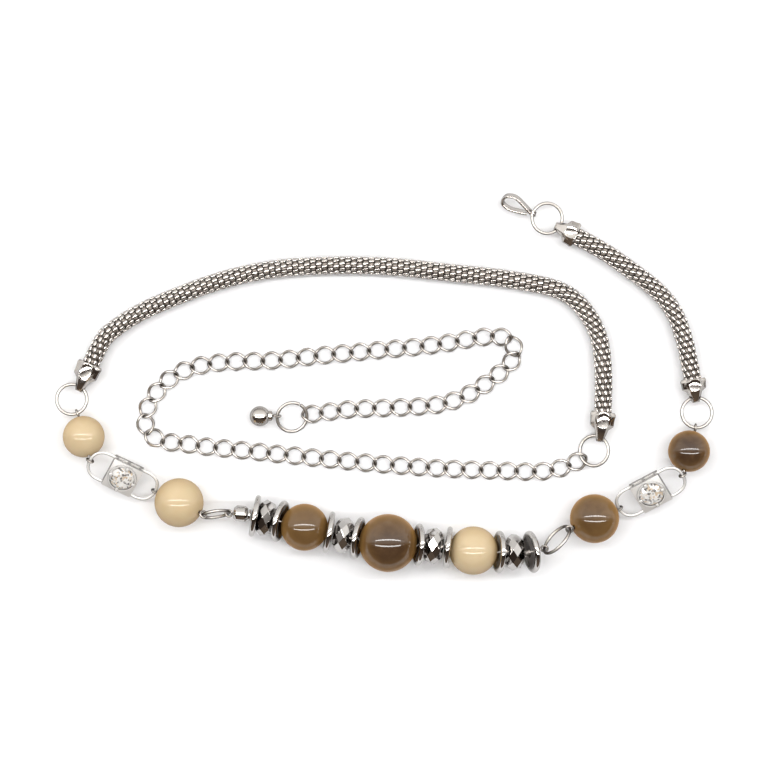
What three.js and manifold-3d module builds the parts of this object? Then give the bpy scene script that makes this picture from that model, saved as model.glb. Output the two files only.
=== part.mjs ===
// A beaded chain belt, laid out on a table. Millimetres, +Z up, resting on z = 0.
import * as THREE from "three";
import { ConvexGeometry } from "three/addons/geometries/ConvexGeometry.js";
import { mergeVertices } from "three/addons/utils/BufferGeometryUtils.js";
import Module from "manifold-3d";

// Clearance between two pieces that touch on the real belt.
const GAP = 0.3;

// The hook at the start of the belt.
const HOOK_LENGTH = 14.2;
const HOOK_BAND_WIDTH = 2.8;
const HOOK_BAND_THICKNESS = 1.2;
const HOOK_LOOP_HALF_WIDTH = 4.2;
const HOOK_ROLL = 45;
const HOOK_HEIGHT = 4.7;
const HOOK_MOUTH = 3.4;

// Round jump rings of wire.
const RING_DIAMETER = 13.7;
const RING_WIRE = 1.3;
const RING_ON_EDGE_ROLL = 72;
const STRING_RING_RIGHT_DIAMETER = 15.4;
const STRING_RING_LEFT_DIAMETER = 12.6;

// Eyes of thinner wire at the ends of the pins and of the string.
const EYE_WIRE = 0.85;
const EYE_BEAD_PLAY = 0.2;

// The two woven tubes and their end caps.
const TUBE_DIAMETER = 6.8;
const TUBE_SHORT_LENGTH = 80.2;
const TUBE_LONG_LENGTH = 263.6;
const TUBE_SEAT = 2.4;
const CAP_SHORT_LENGTH = 7.8;
const CAP_LONG_LENGTH = 10.4;
const CAP_SHOULDER_WIDTH = 11.2;
const CAP_SHOULDER_SHARE = 0.7;
const CAP_MOUTH_WIDTH = 9.2;
const CAP_HEIGHT = 8.8;
const CAP_TIP_WIDTH = 2.4;
const CAP_TIP_WALL = 0.8;
const CAP_TIP_BORE = 2.4;

// Round beads.
const SMALL_BEAD = 17.0;
const MEDIUM_BEAD = 20.0;
const BIG_BEAD = 23.6;
const CENTRE_BROWN_BEAD = 19.2;
const CENTRE_IVORY_BEAD = 19.8;
const SMALL_PIN_TILT = 17;
const MEDIUM_PIN_TILT = 21;

// What is threaded on the string in the middle.
const CUP_DISC_DIAMETER = 17.4;
const CUP_DISC_THICKNESS = 0.7;
const CUP_DISC_DEPTH = 1.2;
const CUP_DISC_RIM = 2.6;
const RONDELLE_DIAMETER = 15.0;
const RONDELLE_WIDTH = 7.8;
const RONDELLE_END_DIAMETER = 9.0;
const RONDELLE_LOZENGE = 4.8;
const RONDELLE_SIDES = 8;
const BARREL_LENGTH = 5.8;
const BARREL_DIAMETER = 6.6;
const SPACER_RING_WIDTH = 0.8;
const SPACER_RING_DIAMETER = 4.6;
const BEAD_TO_DISC = 0.65;
const RONDELLE_PLAY = 0.6;
const FIRST_DISC_TO_RONDELLE = 0.6;
const LAST_DISC_TO_RONDELLE = 3.3;
const STRING_SLACK = 1.8;
const COIL_DIAMETER = 3.0;
const COIL_LENGTH = 2.0;

// The two crystal links.
const LINK_LENGTH = 30.8;
const LINK_FRAME = 12.8;
const LINK_HEIGHT = 4.8;
const LINK_WALL = 1.1;
const LINK_WIRE = 1.3;
const LINK_SLOT_LENGTH = 4.2;
const LINK_SLOT_HEIGHT = 1.9;
const LINK_ROLL = 20;
const STONE_DIAMETER = 9.8;
const STONE_CROWN = 1.5;
const STONE_PAVILION = 3.0;
const STONE_GIRDLE = 0.3;
const STONE_TABLE_SHARE = 0.56;
const BEZEL_WALL = 0.6;
const BEZEL_RISE = 0.6;
const BEZEL_FOOT = 0.4;
const PRONG_WIDTH = 1.3;
const PRONG_THICKNESS = 0.7;
const PRONG_OVERLAP = 0.7;

// The curb chain.
const CHAIN_LINKS = 62;
const CHAIN_LINK_LENGTH = 9.48;
const CHAIN_LINK_WIDTH = 7.7;
const CHAIN_WIRE = 1.1;
const CHAIN_TWIST = 45;
const CHAIN_WELD = 0.05;
const CHAIN_REST_SHARE = 0.17;
const CHAIN_RING_PLAY = 0.35;
const CHAIN_RING_ROLL = 22;
const BALL_RING_ROLL = 18;

// The ball at the end of the chain.
const BALL_DIAMETER = 8.4;
const BALL_TO_EYE = 7.2;
const COLLAR_DIAMETER = 3.0;
const COLLAR_LENGTH = 0.9;

// How finely round things are faceted.
const BEAD_SIDES = 10;
const BEAD_BANDS = 6;
const TUBE_SIDES = 10;
const TUBE_STEP = 6.6;
const RING_STEPS = 14;
const EYE_STEPS = 8;
const WIRE_SIDES = 5;
const BORE_SIDES = 8;
const SEAT_SIDES = 12;
const LINK_STEPS = 10;

// The way the belt lies, seen from above, from the hook to the ball: points chosen along it.
const ROUTE = [
  [48.1, 76.0], [54.4, 72.9], [61.1, 69.5], [72.0, 63.7], [79.0, 60.4], [89.1, 54.7],
  [101.1, 46.5], [111.6, 38.3], [118.4, 30.1], [123.1, 17.8], [125.7, 5.5], [126.6, 1.4],
  [127.6, -6.0], [127.5, -18.2], [121.4, -37.4], [96.1, -51.5], [75.3, -59.2], [65.2, -67.7],
  [60.1, -69.0], [46.0, -69.0], [35.4, -68.4], [18.7, -66.3], [0.4, -65.1], [-17.5, -62.0],
  [-32.6, -59.0], [-49.1, -55.1], [-61.2, -53.2], [-72.7, -53.6], [-93.8, -44.7],
  [-119.9, -32.0], [-126.1, -14.0], [-125.8, -3.4], [-121.5, 6.7], [-119.0, 14.5],
  [-112.7, 21.0], [-102.2, 28.2], [-83.8, 36.4], [-65.3, 42.8], [-46.9, 46.7], [-22.3, 48.4],
  [2.3, 47.9], [26.9, 45.4], [51.5, 42.6], [70.4, 38.7], [76.1, 35.8], [80.6, 31.7],
  [86.2, 23.5], [88.8, 15.3], [89.7, 5.5], [89.8, -12.0], [88.6, -22.0], [81.1, -31.4],
  [71.9, -35.4], [64.5, -36.6], [49.2, -36.2], [26.4, -35.4], [4.0, -33.9], [-18.4, -31.9],
  [-40.8, -29.6], [-63.0, -27.3], [-77.7, -25.8], [-84.8, -24.6], [-91.6, -24.4],
  [-97.5, -21.6], [-99.5, -15.9], [-98.3, -10.1], [-94.8, -4.6], [-90.5, 0.7], [-84.5, 4.6],
  [-77.7, 7.0], [-63.3, 8.9], [-48.3, 9.1], [-26.0, 11.4], [-3.4, 13.5], [19.6, 15.6],
  [34.5, 18.0], [42.0, 19.3], [49.5, 19.1], [55.8, 16.2], [53.6, 10.4], [48.4, 4.6],
  [42.1, 0.2], [36.0, -4.1], [29.1, -7.2], [21.6, -9.0], [6.4, -10.1], [-16.0, -10.9],
  [-29.8, -12.9], [-32.7, -13.0], [-44.4, -13.4], [-50.6, -14.2],
];

const SPARE_LENGTH = 400;
const SPARE_TURN_RADIUS = 45;

const wasm = await Module();
wasm.setup();

const UP = new THREE.Vector3(0, 0, 1);
const TURN_UP = new THREE.Matrix4().makeRotationX(Math.PI / 2);
const vec = (x, y = 0, z = 0) => new THREE.Vector3(x, y, z);
const radians = THREE.MathUtils.degToRad;
const along = (point, direction, distance) => point.clone().addScaledVector(direction, distance);
const towards = (from, to) => to.clone().sub(from).normalize();

// Finishes.
const metalFinish = (color, roughness) =>
  new THREE.MeshStandardMaterial({ color, roughness, metalness: 1 });
const beadFinish = (color) =>
  new THREE.MeshStandardMaterial({ color, roughness: 0.12, metalness: 0 });
const silver = () => metalFinish(0xc9c5bf, 0.16);
const wovenSilver = () => metalFinish(0xb4aea6, 0.3);
const mirrorSilver = () => metalFinish(0xb9b6b2, 0.06);
const ivory = () => beadFinish(0xe3c99a);
const smokyBrown = () => beadFinish(0x6e5138);
const crystal = () => beadFinish(0xf2f2f4);

const belt = new THREE.Group();

// Adds one named piece, whose own frame is placed by a matrix.
function addPiece(name, geometry, material, placement = new THREE.Matrix4()) {
  const mesh = new THREE.Mesh(geometry, material);
  mesh.name = name;
  placement.decompose(mesh.position, mesh.quaternion, mesh.scale);
  belt.add(mesh);
  return mesh;
}

// Edges shorter than this, which cuts can leave behind, are closed up.
const SLIVER = 0.01;

// A closed geometry as a solid that can be cut and joined.
function toSolid(geometry, placement) {
  const bare = geometry.clone();
  if (placement) bare.applyMatrix4(placement);
  for (const attribute of Object.keys(bare.attributes)) {
    if (attribute !== "position") bare.deleteAttribute(attribute);
  }
  const merged = mergeVertices(bare, 1e-4);
  return new wasm.Manifold(
    new wasm.Mesh({
      numProp: 3,
      vertProperties: merged.attributes.position.array,
      triVerts: new Uint32Array(merged.index.array),
    }),
  );
}

function toGeometry(solid) {
  const mesh = solid.simplify(SLIVER).getMesh();
  const geometry = new THREE.BufferGeometry();
  geometry.setAttribute("position", new THREE.BufferAttribute(new Float32Array(mesh.vertProperties), 3));
  geometry.setIndex(new THREE.BufferAttribute(new Uint32Array(mesh.triVerts), 1));
  geometry.computeVertexNormals();
  return geometry;
}

const join = (solids) => solids.reduce((whole, solid) => whole.add(solid));

// A frame at a point: its X runs along a direction, its Z leans as close to "up" as it can,
// and a roll turns it about X.
function frameAt(origin, direction, up = UP, roll = 0) {
  const x = direction.clone().normalize();
  const y = up.clone().cross(x).normalize();
  const z = x.clone().cross(y);
  return new THREE.Matrix4()
    .makeBasis(x, y, z)
    .setPosition(origin)
    .multiply(new THREE.Matrix4().makeRotationX(radians(roll)));
}

// A frame whose Z is the axis of a turned shape or of a loop.
function frameOnAxis(origin, axis) {
  const turn = new THREE.Quaternion().setFromUnitVectors(UP, axis.clone().normalize());
  return new THREE.Matrix4().compose(origin, turn, vec(1, 1, 1));
}

// A path through exact points, whose cross-section keeps one side towards "up".
class BarePath extends THREE.Curve {
  constructor(points, up) {
    super();
    this.points = points;
    this.up = up;
  }
  getPoint(t) {
    return this.points[Math.round(t * (this.points.length - 1))].clone();
  }
  getPointAt(t) {
    return this.getPoint(t);
  }
  computeFrenetFrames(steps) {
    const frames = { tangents: [], normals: [], binormals: [] };
    for (let i = 0; i <= steps; i++) {
      const before = this.points[Math.max(i - 1, 0)];
      const after = this.points[Math.min(i + 1, steps)];
      const tangent = towards(before, after);
      const normal = this.up.clone().cross(tangent).normalize();
      frames.tangents.push(tangent);
      frames.normals.push(normal);
      frames.binormals.push(tangent.clone().cross(normal));
    }
    return frames;
  }
}

// A bar of any section swept through the points, with flat ends.
function sweep(points, section, up) {
  return new THREE.ExtrudeGeometry(section, {
    steps: points.length - 1,
    extrudePath: new BarePath(points, up),
  });
}

function roundSection(radius, sides) {
  const corners = [];
  for (let i = 0; i < sides; i++) {
    const angle = ((i + 0.5) / sides) * 2 * Math.PI - Math.PI / 2;
    corners.push(new THREE.Vector2(radius * Math.cos(angle), radius * Math.sin(angle)));
  }
  return new THREE.Shape(corners);
}

function bandSection(thickness, width) {
  const [t, w] = [thickness / 2, width / 2];
  return new THREE.Shape([
    new THREE.Vector2(-t, -w),
    new THREE.Vector2(t, -w),
    new THREE.Vector2(t, w),
    new THREE.Vector2(-t, w),
  ]);
}

// A closed loop of round wire round the Z axis. The path gives the point at each turn angle,
// and the wire's section has a corner on the inside of the loop.
function wireLoop(path, wire, steps) {
  const geometry = new THREE.TorusGeometry(1, wire / 2, WIRE_SIDES, steps);
  const place = geometry.attributes.position;
  const nudge = 1e-3;
  for (let i = 0; i < place.count; i++) {
    const [x, y, z] = [place.getX(i), place.getY(i), place.getZ(i)];
    const angle = Math.atan2(y, x);
    const centre = path(angle);
    const tangent = towards(path(angle - nudge), path(angle + nudge));
    const outward = centre.clone().addScaledVector(tangent, -centre.dot(tangent)).normalize();
    const across = outward.clone().cross(tangent);
    const moved = centre.addScaledVector(outward, 1 - Math.hypot(x, y)).addScaledVector(across, -z);
    place.setXYZ(i, moved.x, moved.y, moved.z);
  }
  return geometry;
}

const circle = (radius) => (angle) => vec(radius * Math.cos(angle), radius * Math.sin(angle), 0);

// Walks along the belt's route: each rigid piece is a straight stride between two points of it.
// Past its last point the route goes on in an arc within the chain's turn, a millimetre at a
// time, for a belt whose sizes are made larger.
const trail = new THREE.CatmullRomCurve3(
  ROUTE.map(([x, y]) => vec(x, y)),
  false,
  "centripetal",
).getPoints(ROUTE.length * 40);
const heading = towards(trail[trail.length - 9], trail[trail.length - 1]);
for (let spare = 1; spare <= SPARE_LENGTH; spare++) {
  heading.applyAxisAngle(UP, -1 / SPARE_TURN_RADIUS);
  trail.push(along(trail[trail.length - 1], heading, 1));
}
const walk = { index: 0, at: trail[0].clone(), height: 0 };

// The point of the route one stride on, at its own height above the table.
function stride(length, height) {
  const level = Math.sqrt(Math.max(length ** 2 - (height - walk.height) ** 2, 0));
  const flatDistance = (point) => Math.hypot(point.x - walk.at.x, point.y - walk.at.y);
  let next = walk.index + 1;
  while (next < trail.length - 1 && flatDistance(trail[next]) < level) {
    next++;
  }
  const [near, far] = [flatDistance(trail[next - 1]), flatDistance(trail[next])];
  const share = near < level ? (level - near) / (far - near) : 1;
  const point = trail[next - 1].clone().lerp(trail[next], share);
  walk.index = Math.max(next - 1, walk.index);
  walk.at = vec(point.x, point.y);
  walk.height = height;
  return vec(point.x, point.y, height);
}

// Points along the route for a soft length, one every few millimetres.
function stroll(length, step, height) {
  const points = [];
  const count = Math.round(length / step);
  for (let i = 0; i < count; i++) {
    points.push(stride(length / count, height));
  }
  return points;
}

// Round beads with a bore along X.
const WIRE_BORE = EYE_WIRE + 2 * GAP + 0.5;

function turned(profile, sides) {
  const points = profile.map(([x, r]) => new THREE.Vector2(r, x));
  points.push(points[0].clone());
  const geometry = new THREE.LatheGeometry(points, sides);
  return geometry.applyMatrix4(new THREE.Matrix4().makeBasis(vec(0, 0, 1), vec(1), vec(0, 1)));
}

// Its flat sides, and not its corners, lie on the round surface.
function beadGeometry(diameter) {
  const radius = diameter / 2;
  const pole = Math.asin(WIRE_BORE / 2 / radius);
  const overFlats = 1 / Math.cos(Math.PI / BEAD_SIDES);
  const profile = [];
  for (let i = 0; i <= BEAD_BANDS; i++) {
    const angle = pole + ((Math.PI - 2 * pole) * i) / BEAD_BANDS;
    profile.push([-radius * Math.cos(angle), radius * Math.sin(angle) * overFlats]);
  }
  return turned(profile, BEAD_SIDES);
}

// Wire eyes. An eye sits round the wire of a ring, so its hole follows that wire.
const EYE_RADIUS = RING_WIRE / 2 + GAP + EYE_WIRE / 2;
const EYE_REACH = EYE_RADIUS + EYE_WIRE / 2;

function eyeSolid(centre, axis) {
  const loop = wireLoop(circle(EYE_RADIUS), EYE_WIRE, EYE_STEPS);
  return toSolid(loop, frameOnAxis(centre, axis));
}

// Where a straight wire that arrives along a direction meets the eye's own wire.
function eyeFoot(centre, axis, inward) {
  const unit = axis.clone().normalize();
  const flat = inward.clone().addScaledVector(unit, -inward.dot(unit)).normalize();
  return along(centre, flat, EYE_RADIUS);
}

const straightWire = (from, to, diameter) =>
  toSolid(sweep([from, to], roundSection(diameter / 2, BORE_SIDES), UP));

// A ring through two points of the belt. It leans by a roll about the line between them,
// and a chord shorter than its own diameter sets its middle off to one side.
function ringBetween(name, from, to, diameter, roll, side) {
  const radius = (diameter - RING_WIRE) / 2;
  const chord = towards(from, to);
  const level = UP.clone().cross(chord).normalize();
  const lean = level.clone().applyAxisAngle(chord, radians(roll)).multiplyScalar(side);
  const half = from.distanceTo(to) / 2;
  const offset = Math.sqrt(Math.max(radius ** 2 - half ** 2, 0));
  const centre = from.clone().lerp(to, 0.5).addScaledVector(lean, offset);
  const axis = chord.clone().cross(lean).normalize();
  const placement = frameOnAxis(centre, axis);
  addPiece(name, wireLoop(circle(radius), RING_WIRE, RING_STEPS), silver(), placement);
  const tangentAt = (point) => axis.clone().cross(point.clone().sub(centre)).normalize();
  return { startAxis: tangentAt(from), endAxis: tangentAt(to) };
}

const ringChord = (diameter, share) => (diameter - RING_WIRE) * share;

// The hook: a bent band with an eye round the first ring.
function addHook(nose, eyeCentre, ringAxis) {
  const frame = frameAt(nose, towards(nose, eyeCentre), UP, HOOK_ROLL);
  const w = HOOK_LOOP_HALF_WIDTH - HOOK_BAND_THICKNESS / 2;
  const length = nose.distanceTo(eyeCentre);
  const outline = [
    vec(length - EYE_RADIUS, 0.2),
    vec(length * 0.68, w * 0.5),
    vec(length * 0.34, w),
    vec(length * 0.1, w * 0.62),
    vec(HOOK_BAND_THICKNESS / 2, 0),
    vec(length * 0.1, -w * 0.68),
    vec(length * 0.34, -w),
    vec(length * 0.6, -w * 0.66),
    vec(length - HOOK_MOUTH, -w * 0.34),
  ];
  const band = new THREE.CatmullRomCurve3(outline, false, "centripetal").getSpacedPoints(22);
  const bent = toSolid(sweep(band, bandSection(HOOK_BAND_THICKNESS, HOOK_BAND_WIDTH), UP), frame);
  const eye = eyeSolid(eyeCentre, ringAxis);
  const wireRoom = toSolid(
    sweep([vec(0, 0, -3), vec(0, 0, 3)], roundSection(RING_WIRE / 2 + GAP, BORE_SIDES), vec(1)),
    frameOnAxis(eyeCentre, ringAxis),
  );
  addPiece("hook_clasp", toGeometry(bent.subtract(wireRoom).add(eye)), silver());
}

// An end cap: a tip folded round a ring, four faces that widen to a shoulder, and a mouth
// that holds the end of a woven tube. Its underside is flat.
function capSection(x, width, height, corner) {
  const [w, h] = [width / 2, height / 2];
  const [cw, ch] = [w * corner, h * corner];
  const quarter = [[w, ch], [cw, h]];
  return quarter.flatMap(([y, z]) => [vec(x, y, z), vec(x, -y, z), vec(x, y, -z), vec(x, -y, -z)]);
}

function addCap(name, tip, mouth, ringAxis) {
  const frame = frameAt(tip, towards(tip, mouth));
  const length = tip.distanceTo(mouth);
  const tipRadius = CAP_TIP_BORE / 2 + CAP_TIP_WALL;
  const shoulder = length * CAP_SHOULDER_SHARE;
  const nose = new ConvexGeometry([
    ...capSection(tipRadius - CAP_TIP_WALL / 2, CAP_TIP_WIDTH, tipRadius * 1.5, 0.6),
    ...capSection(shoulder, CAP_SHOULDER_WIDTH, CAP_HEIGHT, 0.5),
  ]);
  const skirt = new ConvexGeometry([
    ...capSection(shoulder * 0.8, CAP_TIP_WIDTH, CAP_TIP_WIDTH, 0.5),
    ...capSection(shoulder, CAP_SHOULDER_WIDTH, CAP_HEIGHT, 0.5),
    ...capSection(length, CAP_MOUTH_WIDTH, CAP_HEIGHT, 0.6),
  ]);
  const socket = sweep(
    [vec(length - TUBE_SEAT - GAP), vec(length + 1)],
    roundSection(TUBE_DIAMETER / 2 + GAP, TUBE_SIDES),
    UP,
  );
  const alongRing = frameOnAxis(tip, ringAxis);
  const half = CAP_TIP_WIDTH / 2;
  const fold = sweep([vec(0, 0, -half), vec(0, 0, half)], roundSection(tipRadius, BORE_SIDES), vec(1));
  const bore = sweep([vec(0, 0, -8), vec(0, 0, 8)], roundSection(CAP_TIP_BORE / 2, BORE_SIDES), vec(1));
  const body = toSolid(nose, frame)
    .add(toSolid(skirt, frame))
    .subtract(toSolid(socket, frame))
    .add(toSolid(fold, alongRing))
    .subtract(toSolid(bore, alongRing));
  addPiece(name, toGeometry(body), silver());
}

// A woven tube between the mouths of two caps, lower along its length than in its caps.
function addTube(name, points, startDirection, endDirection) {
  const [first, last] = [points[0], points[points.length - 1]];
  const middle = points.slice(2, -2).map((point, i, all) => {
    const near = Math.min(i, all.length - 1 - i) / 3;
    const rise = THREE.MathUtils.smoothstep(1 - near, 0, 1);
    return vec(point.x, point.y, THREE.MathUtils.lerp(TUBE_DIAMETER / 2, CAP_HEIGHT / 2, rise));
  });
  const guide = [along(first, startDirection, 1), ...middle, along(last, endDirection, -1)];
  const curve = new THREE.CatmullRomCurve3(guide, false, "centripetal");
  const count = Math.round(curve.getLength() / TUBE_STEP);
  const path = [
    along(first, startDirection, -TUBE_SEAT),
    ...curve.getSpacedPoints(count),
    along(last, endDirection, TUBE_SEAT),
  ];
  addPiece(name, sweep(path, roundSection(TUBE_DIAMETER / 2, TUBE_SIDES), UP), wovenSilver());
}

function addBandWithCaps(names, ringIn, length, capLength, chordOut) {
  const mouthIn = stride(capLength, CAP_HEIGHT / 2);
  const soft = [mouthIn, ...stroll(length, TUBE_STEP, CAP_HEIGHT / 2)];
  const mouthOut = soft[soft.length - 1];
  const tipOut = stride(capLength, CAP_HEIGHT / 2);
  addCap(names.capIn, ringIn.point, mouthIn, ringIn.axis);
  addTube(names.tube, soft, towards(ringIn.point, mouthIn), towards(mouthOut, tipOut));
  const ringOut = chordOut(tipOut);
  addCap(names.capOut, tipOut, mouthOut, ringOut.startAxis);
  return ringOut;
}

// A bead on a pin of its own, with an eye at each end.
const EYE_TO_BEAD = EYE_REACH + EYE_BEAD_PLAY;
const pinLength = (bead) => bead + 2 * EYE_TO_BEAD;

function addPinnedBead(beadName, pinName, from, to, fromAxis, toAxis, diameter, finish) {
  const direction = towards(from, to);
  const middle = from.clone().lerp(to, 0.5);
  addPiece(beadName, beadGeometry(diameter), finish, frameAt(middle, direction));
  const run = [
    eyeFoot(from, fromAxis, direction),
    along(from, direction, EYE_TO_BEAD),
    along(to, direction, -EYE_TO_BEAD),
    eyeFoot(to, toAxis, direction.clone().negate()),
  ];
  const wire = toSolid(sweep(run, roundSection(EYE_WIRE / 2, WIRE_SIDES), UP));
  addPiece(pinName, toGeometry(join([wire, eyeSolid(from, fromAxis), eyeSolid(to, toAxis)])), silver());
}

// A crystal link: a slotted square box with a wire loop at each end and a stone in a bezel.
const LINK_PITCH = LINK_LENGTH - LINK_WIRE;
const STONE_LEVEL = LINK_HEIGHT / 2 - 0.1;

const box = (width, depth, height) => new THREE.BoxGeometry(width, depth, height);

function endLoop(sign) {
  const foot = LINK_FRAME / 2 - LINK_WALL;
  const reach = LINK_PITCH / 2;
  const halfWidth = (LINK_FRAME - LINK_WIRE) / 2;
  const points = [];
  const steps = 8;
  for (let i = 0; i <= steps; i++) {
    const angle = (i / steps - 0.5) * Math.PI;
    const x = foot + (reach - foot) * Math.cos(angle);
    points.push(vec(sign * x, halfWidth * Math.sin(angle)));
  }
  return sweep(points, roundSection(LINK_WIRE / 2, WIRE_SIDES), UP);
}

function linkFrame() {
  const inner = LINK_FRAME - 2 * LINK_WALL;
  const plate = LINK_WALL * 0.8;
  const seat = STONE_DIAMETER / 2 + GAP;
  const shell = toSolid(box(LINK_FRAME, LINK_FRAME, LINK_HEIGHT));
  const hollow = toSolid(box(inner, inner, LINK_HEIGHT).translate(0, 0, -plate));
  const hole = turnedOnZ([[0, -LINK_HEIGHT], [seat, -LINK_HEIGHT], [seat, LINK_HEIGHT], [0, LINK_HEIGHT]]);
  let frame = shell.subtract(hollow);
  for (const x of [-inner / 4, inner / 4]) {
    const slot = box(LINK_SLOT_LENGTH, LINK_FRAME + 2, LINK_SLOT_HEIGHT).translate(x, 0, 0);
    frame = frame.subtract(toSolid(slot));
  }
  const top = LINK_HEIGHT / 2;
  const bezel = turnedOnZ([
    [seat - BEZEL_FOOT, top - plate], [seat + BEZEL_WALL, top - plate],
    [seat + BEZEL_WALL, top + BEZEL_RISE], [seat - BEZEL_FOOT, top + BEZEL_RISE],
  ], true);
  frame = join([frame, bezel]).subtract(hole);
  const crownSlope = STONE_CROWN / ((STONE_DIAMETER / 2) * (1 - STONE_TABLE_SHARE));
  const tipBottom = STONE_LEVEL + STONE_GIRDLE + crownSlope * PRONG_OVERLAP + GAP;
  for (let i = 0; i < 4; i++) {
    const turn = new THREE.Matrix4().makeRotationZ((i * Math.PI) / 2);
    const inside = STONE_DIAMETER / 2 - PRONG_OVERLAP;
    const outside = seat + BEZEL_WALL;
    const tip = box(outside - inside, PRONG_WIDTH, PRONG_THICKNESS)
      .translate((inside + outside) / 2, 0, tipBottom + PRONG_THICKNESS / 2);
    const post = box(BEZEL_WALL, PRONG_WIDTH, tipBottom - top + plate)
      .translate(outside - BEZEL_WALL / 2, 0, (tipBottom + top) / 2);
    frame = join([frame, toSolid(tip, turn), toSolid(post, turn)]);
  }
  return join([frame, toSolid(endLoop(1)), toSolid(endLoop(-1))]);
}

function turnedOnZ(profile, closed = false) {
  const points = profile.map(([r, z]) => new THREE.Vector2(r, z));
  if (closed) points.push(points[0].clone());
  return toSolid(new THREE.LatheGeometry(points, SEAT_SIDES), TURN_UP);
}

// A round brilliant: an eight-sided table, crown and pavilion facets, and a girdle.
function stoneGeometry() {
  const radius = STONE_DIAMETER / 2;
  const ring = (r, z, count, shift) =>
    Array.from({ length: count }, (_, i) => {
      const angle = ((i + shift) / count) * 2 * Math.PI;
      return vec(r * Math.cos(angle), r * Math.sin(angle), z);
    });
  return new ConvexGeometry([
    ...ring(radius * STONE_TABLE_SHARE, STONE_CROWN + STONE_GIRDLE / 2, 8, 0.5),
    ...ring(radius, STONE_GIRDLE / 2, 16, 0),
    ...ring(radius, -STONE_GIRDLE / 2, 16, 0),
    vec(0, 0, -STONE_PAVILION),
  ]);
}

function addCrystalLink(number, from, to, roll) {
  const frame = frameAt(from.clone().lerp(to, 0.5), towards(from, to), UP, roll);
  addPiece(`crystal_link_${number}`, toGeometry(linkFrame()), silver(), frame);
  const seat = frame.clone().multiply(new THREE.Matrix4().makeTranslation(0, 0, STONE_LEVEL));
  addPiece(`crystal_stone_${number}`, stoneGeometry(), crystal(), seat);
}

// The cross direction of a crystal link, which is the way its end loops' wire runs.
const linkAcross = (from, to, roll) =>
  vec(0, 1).transformDirection(frameAt(from, towards(from, to), UP, roll));

// Threaded pieces. A dished disc is hollow towards +X when its side is 1.
function cupDisc(side) {
  const [half, depth] = [CUP_DISC_THICKNESS / 2, CUP_DISC_DEPTH];
  const radius = CUP_DISC_DIAMETER / 2;
  const rim = radius - CUP_DISC_RIM;
  const bore = WIRE_BORE / 2;
  const crown = (rim + bore) / 2;
  const profile = [
    [-half - depth, bore], [-half - depth * 0.72, crown], [-half, rim], [-half, radius],
    [half, radius], [half, rim], [half - depth * 0.72, crown], [half - depth, bore],
  ];
  const facing = side > 0 ? profile : profile.map(([x, r]) => [-x, r]).reverse();
  return turned(facing, BEAD_SIDES);
}

function rondelle() {
  const n = RONDELLE_SIDES;
  const ring = (x, r, shift) =>
    Array.from({ length: n }, (_, i) => {
      const angle = ((i + shift) / n) * 2 * Math.PI;
      return vec(x, r * Math.cos(angle), r * Math.sin(angle));
    });
  const radius = RONDELLE_DIAMETER / 2;
  const lozengeEnd = radius * Math.cos(Math.PI / n);
  const points = ring(0, radius, 0);
  for (const side of [-1, 1]) {
    points.push(...ring((side * RONDELLE_LOZENGE) / 2, lozengeEnd, 0.5));
    points.push(...ring((side * RONDELLE_WIDTH) / 2, RONDELLE_END_DIAMETER / 2, 0));
  }
  const reach = RONDELLE_WIDTH;
  const bore = sweep([vec(-reach), vec(reach)], roundSection(WIRE_BORE / 2, BORE_SIDES), UP);
  return toGeometry(toSolid(new ConvexGeometry(points)).subtract(toSolid(bore)));
}

function sleeve(length, diameter, endDiameter) {
  const bore = WIRE_BORE / 2;
  const half = length / 2;
  return turned([
    [-half, bore], [-half, endDiameter / 2], [-half * 0.6, diameter / 2], [half * 0.6, diameter / 2],
    [half, endDiameter / 2], [half, bore],
  ], BEAD_SIDES);
}

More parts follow.
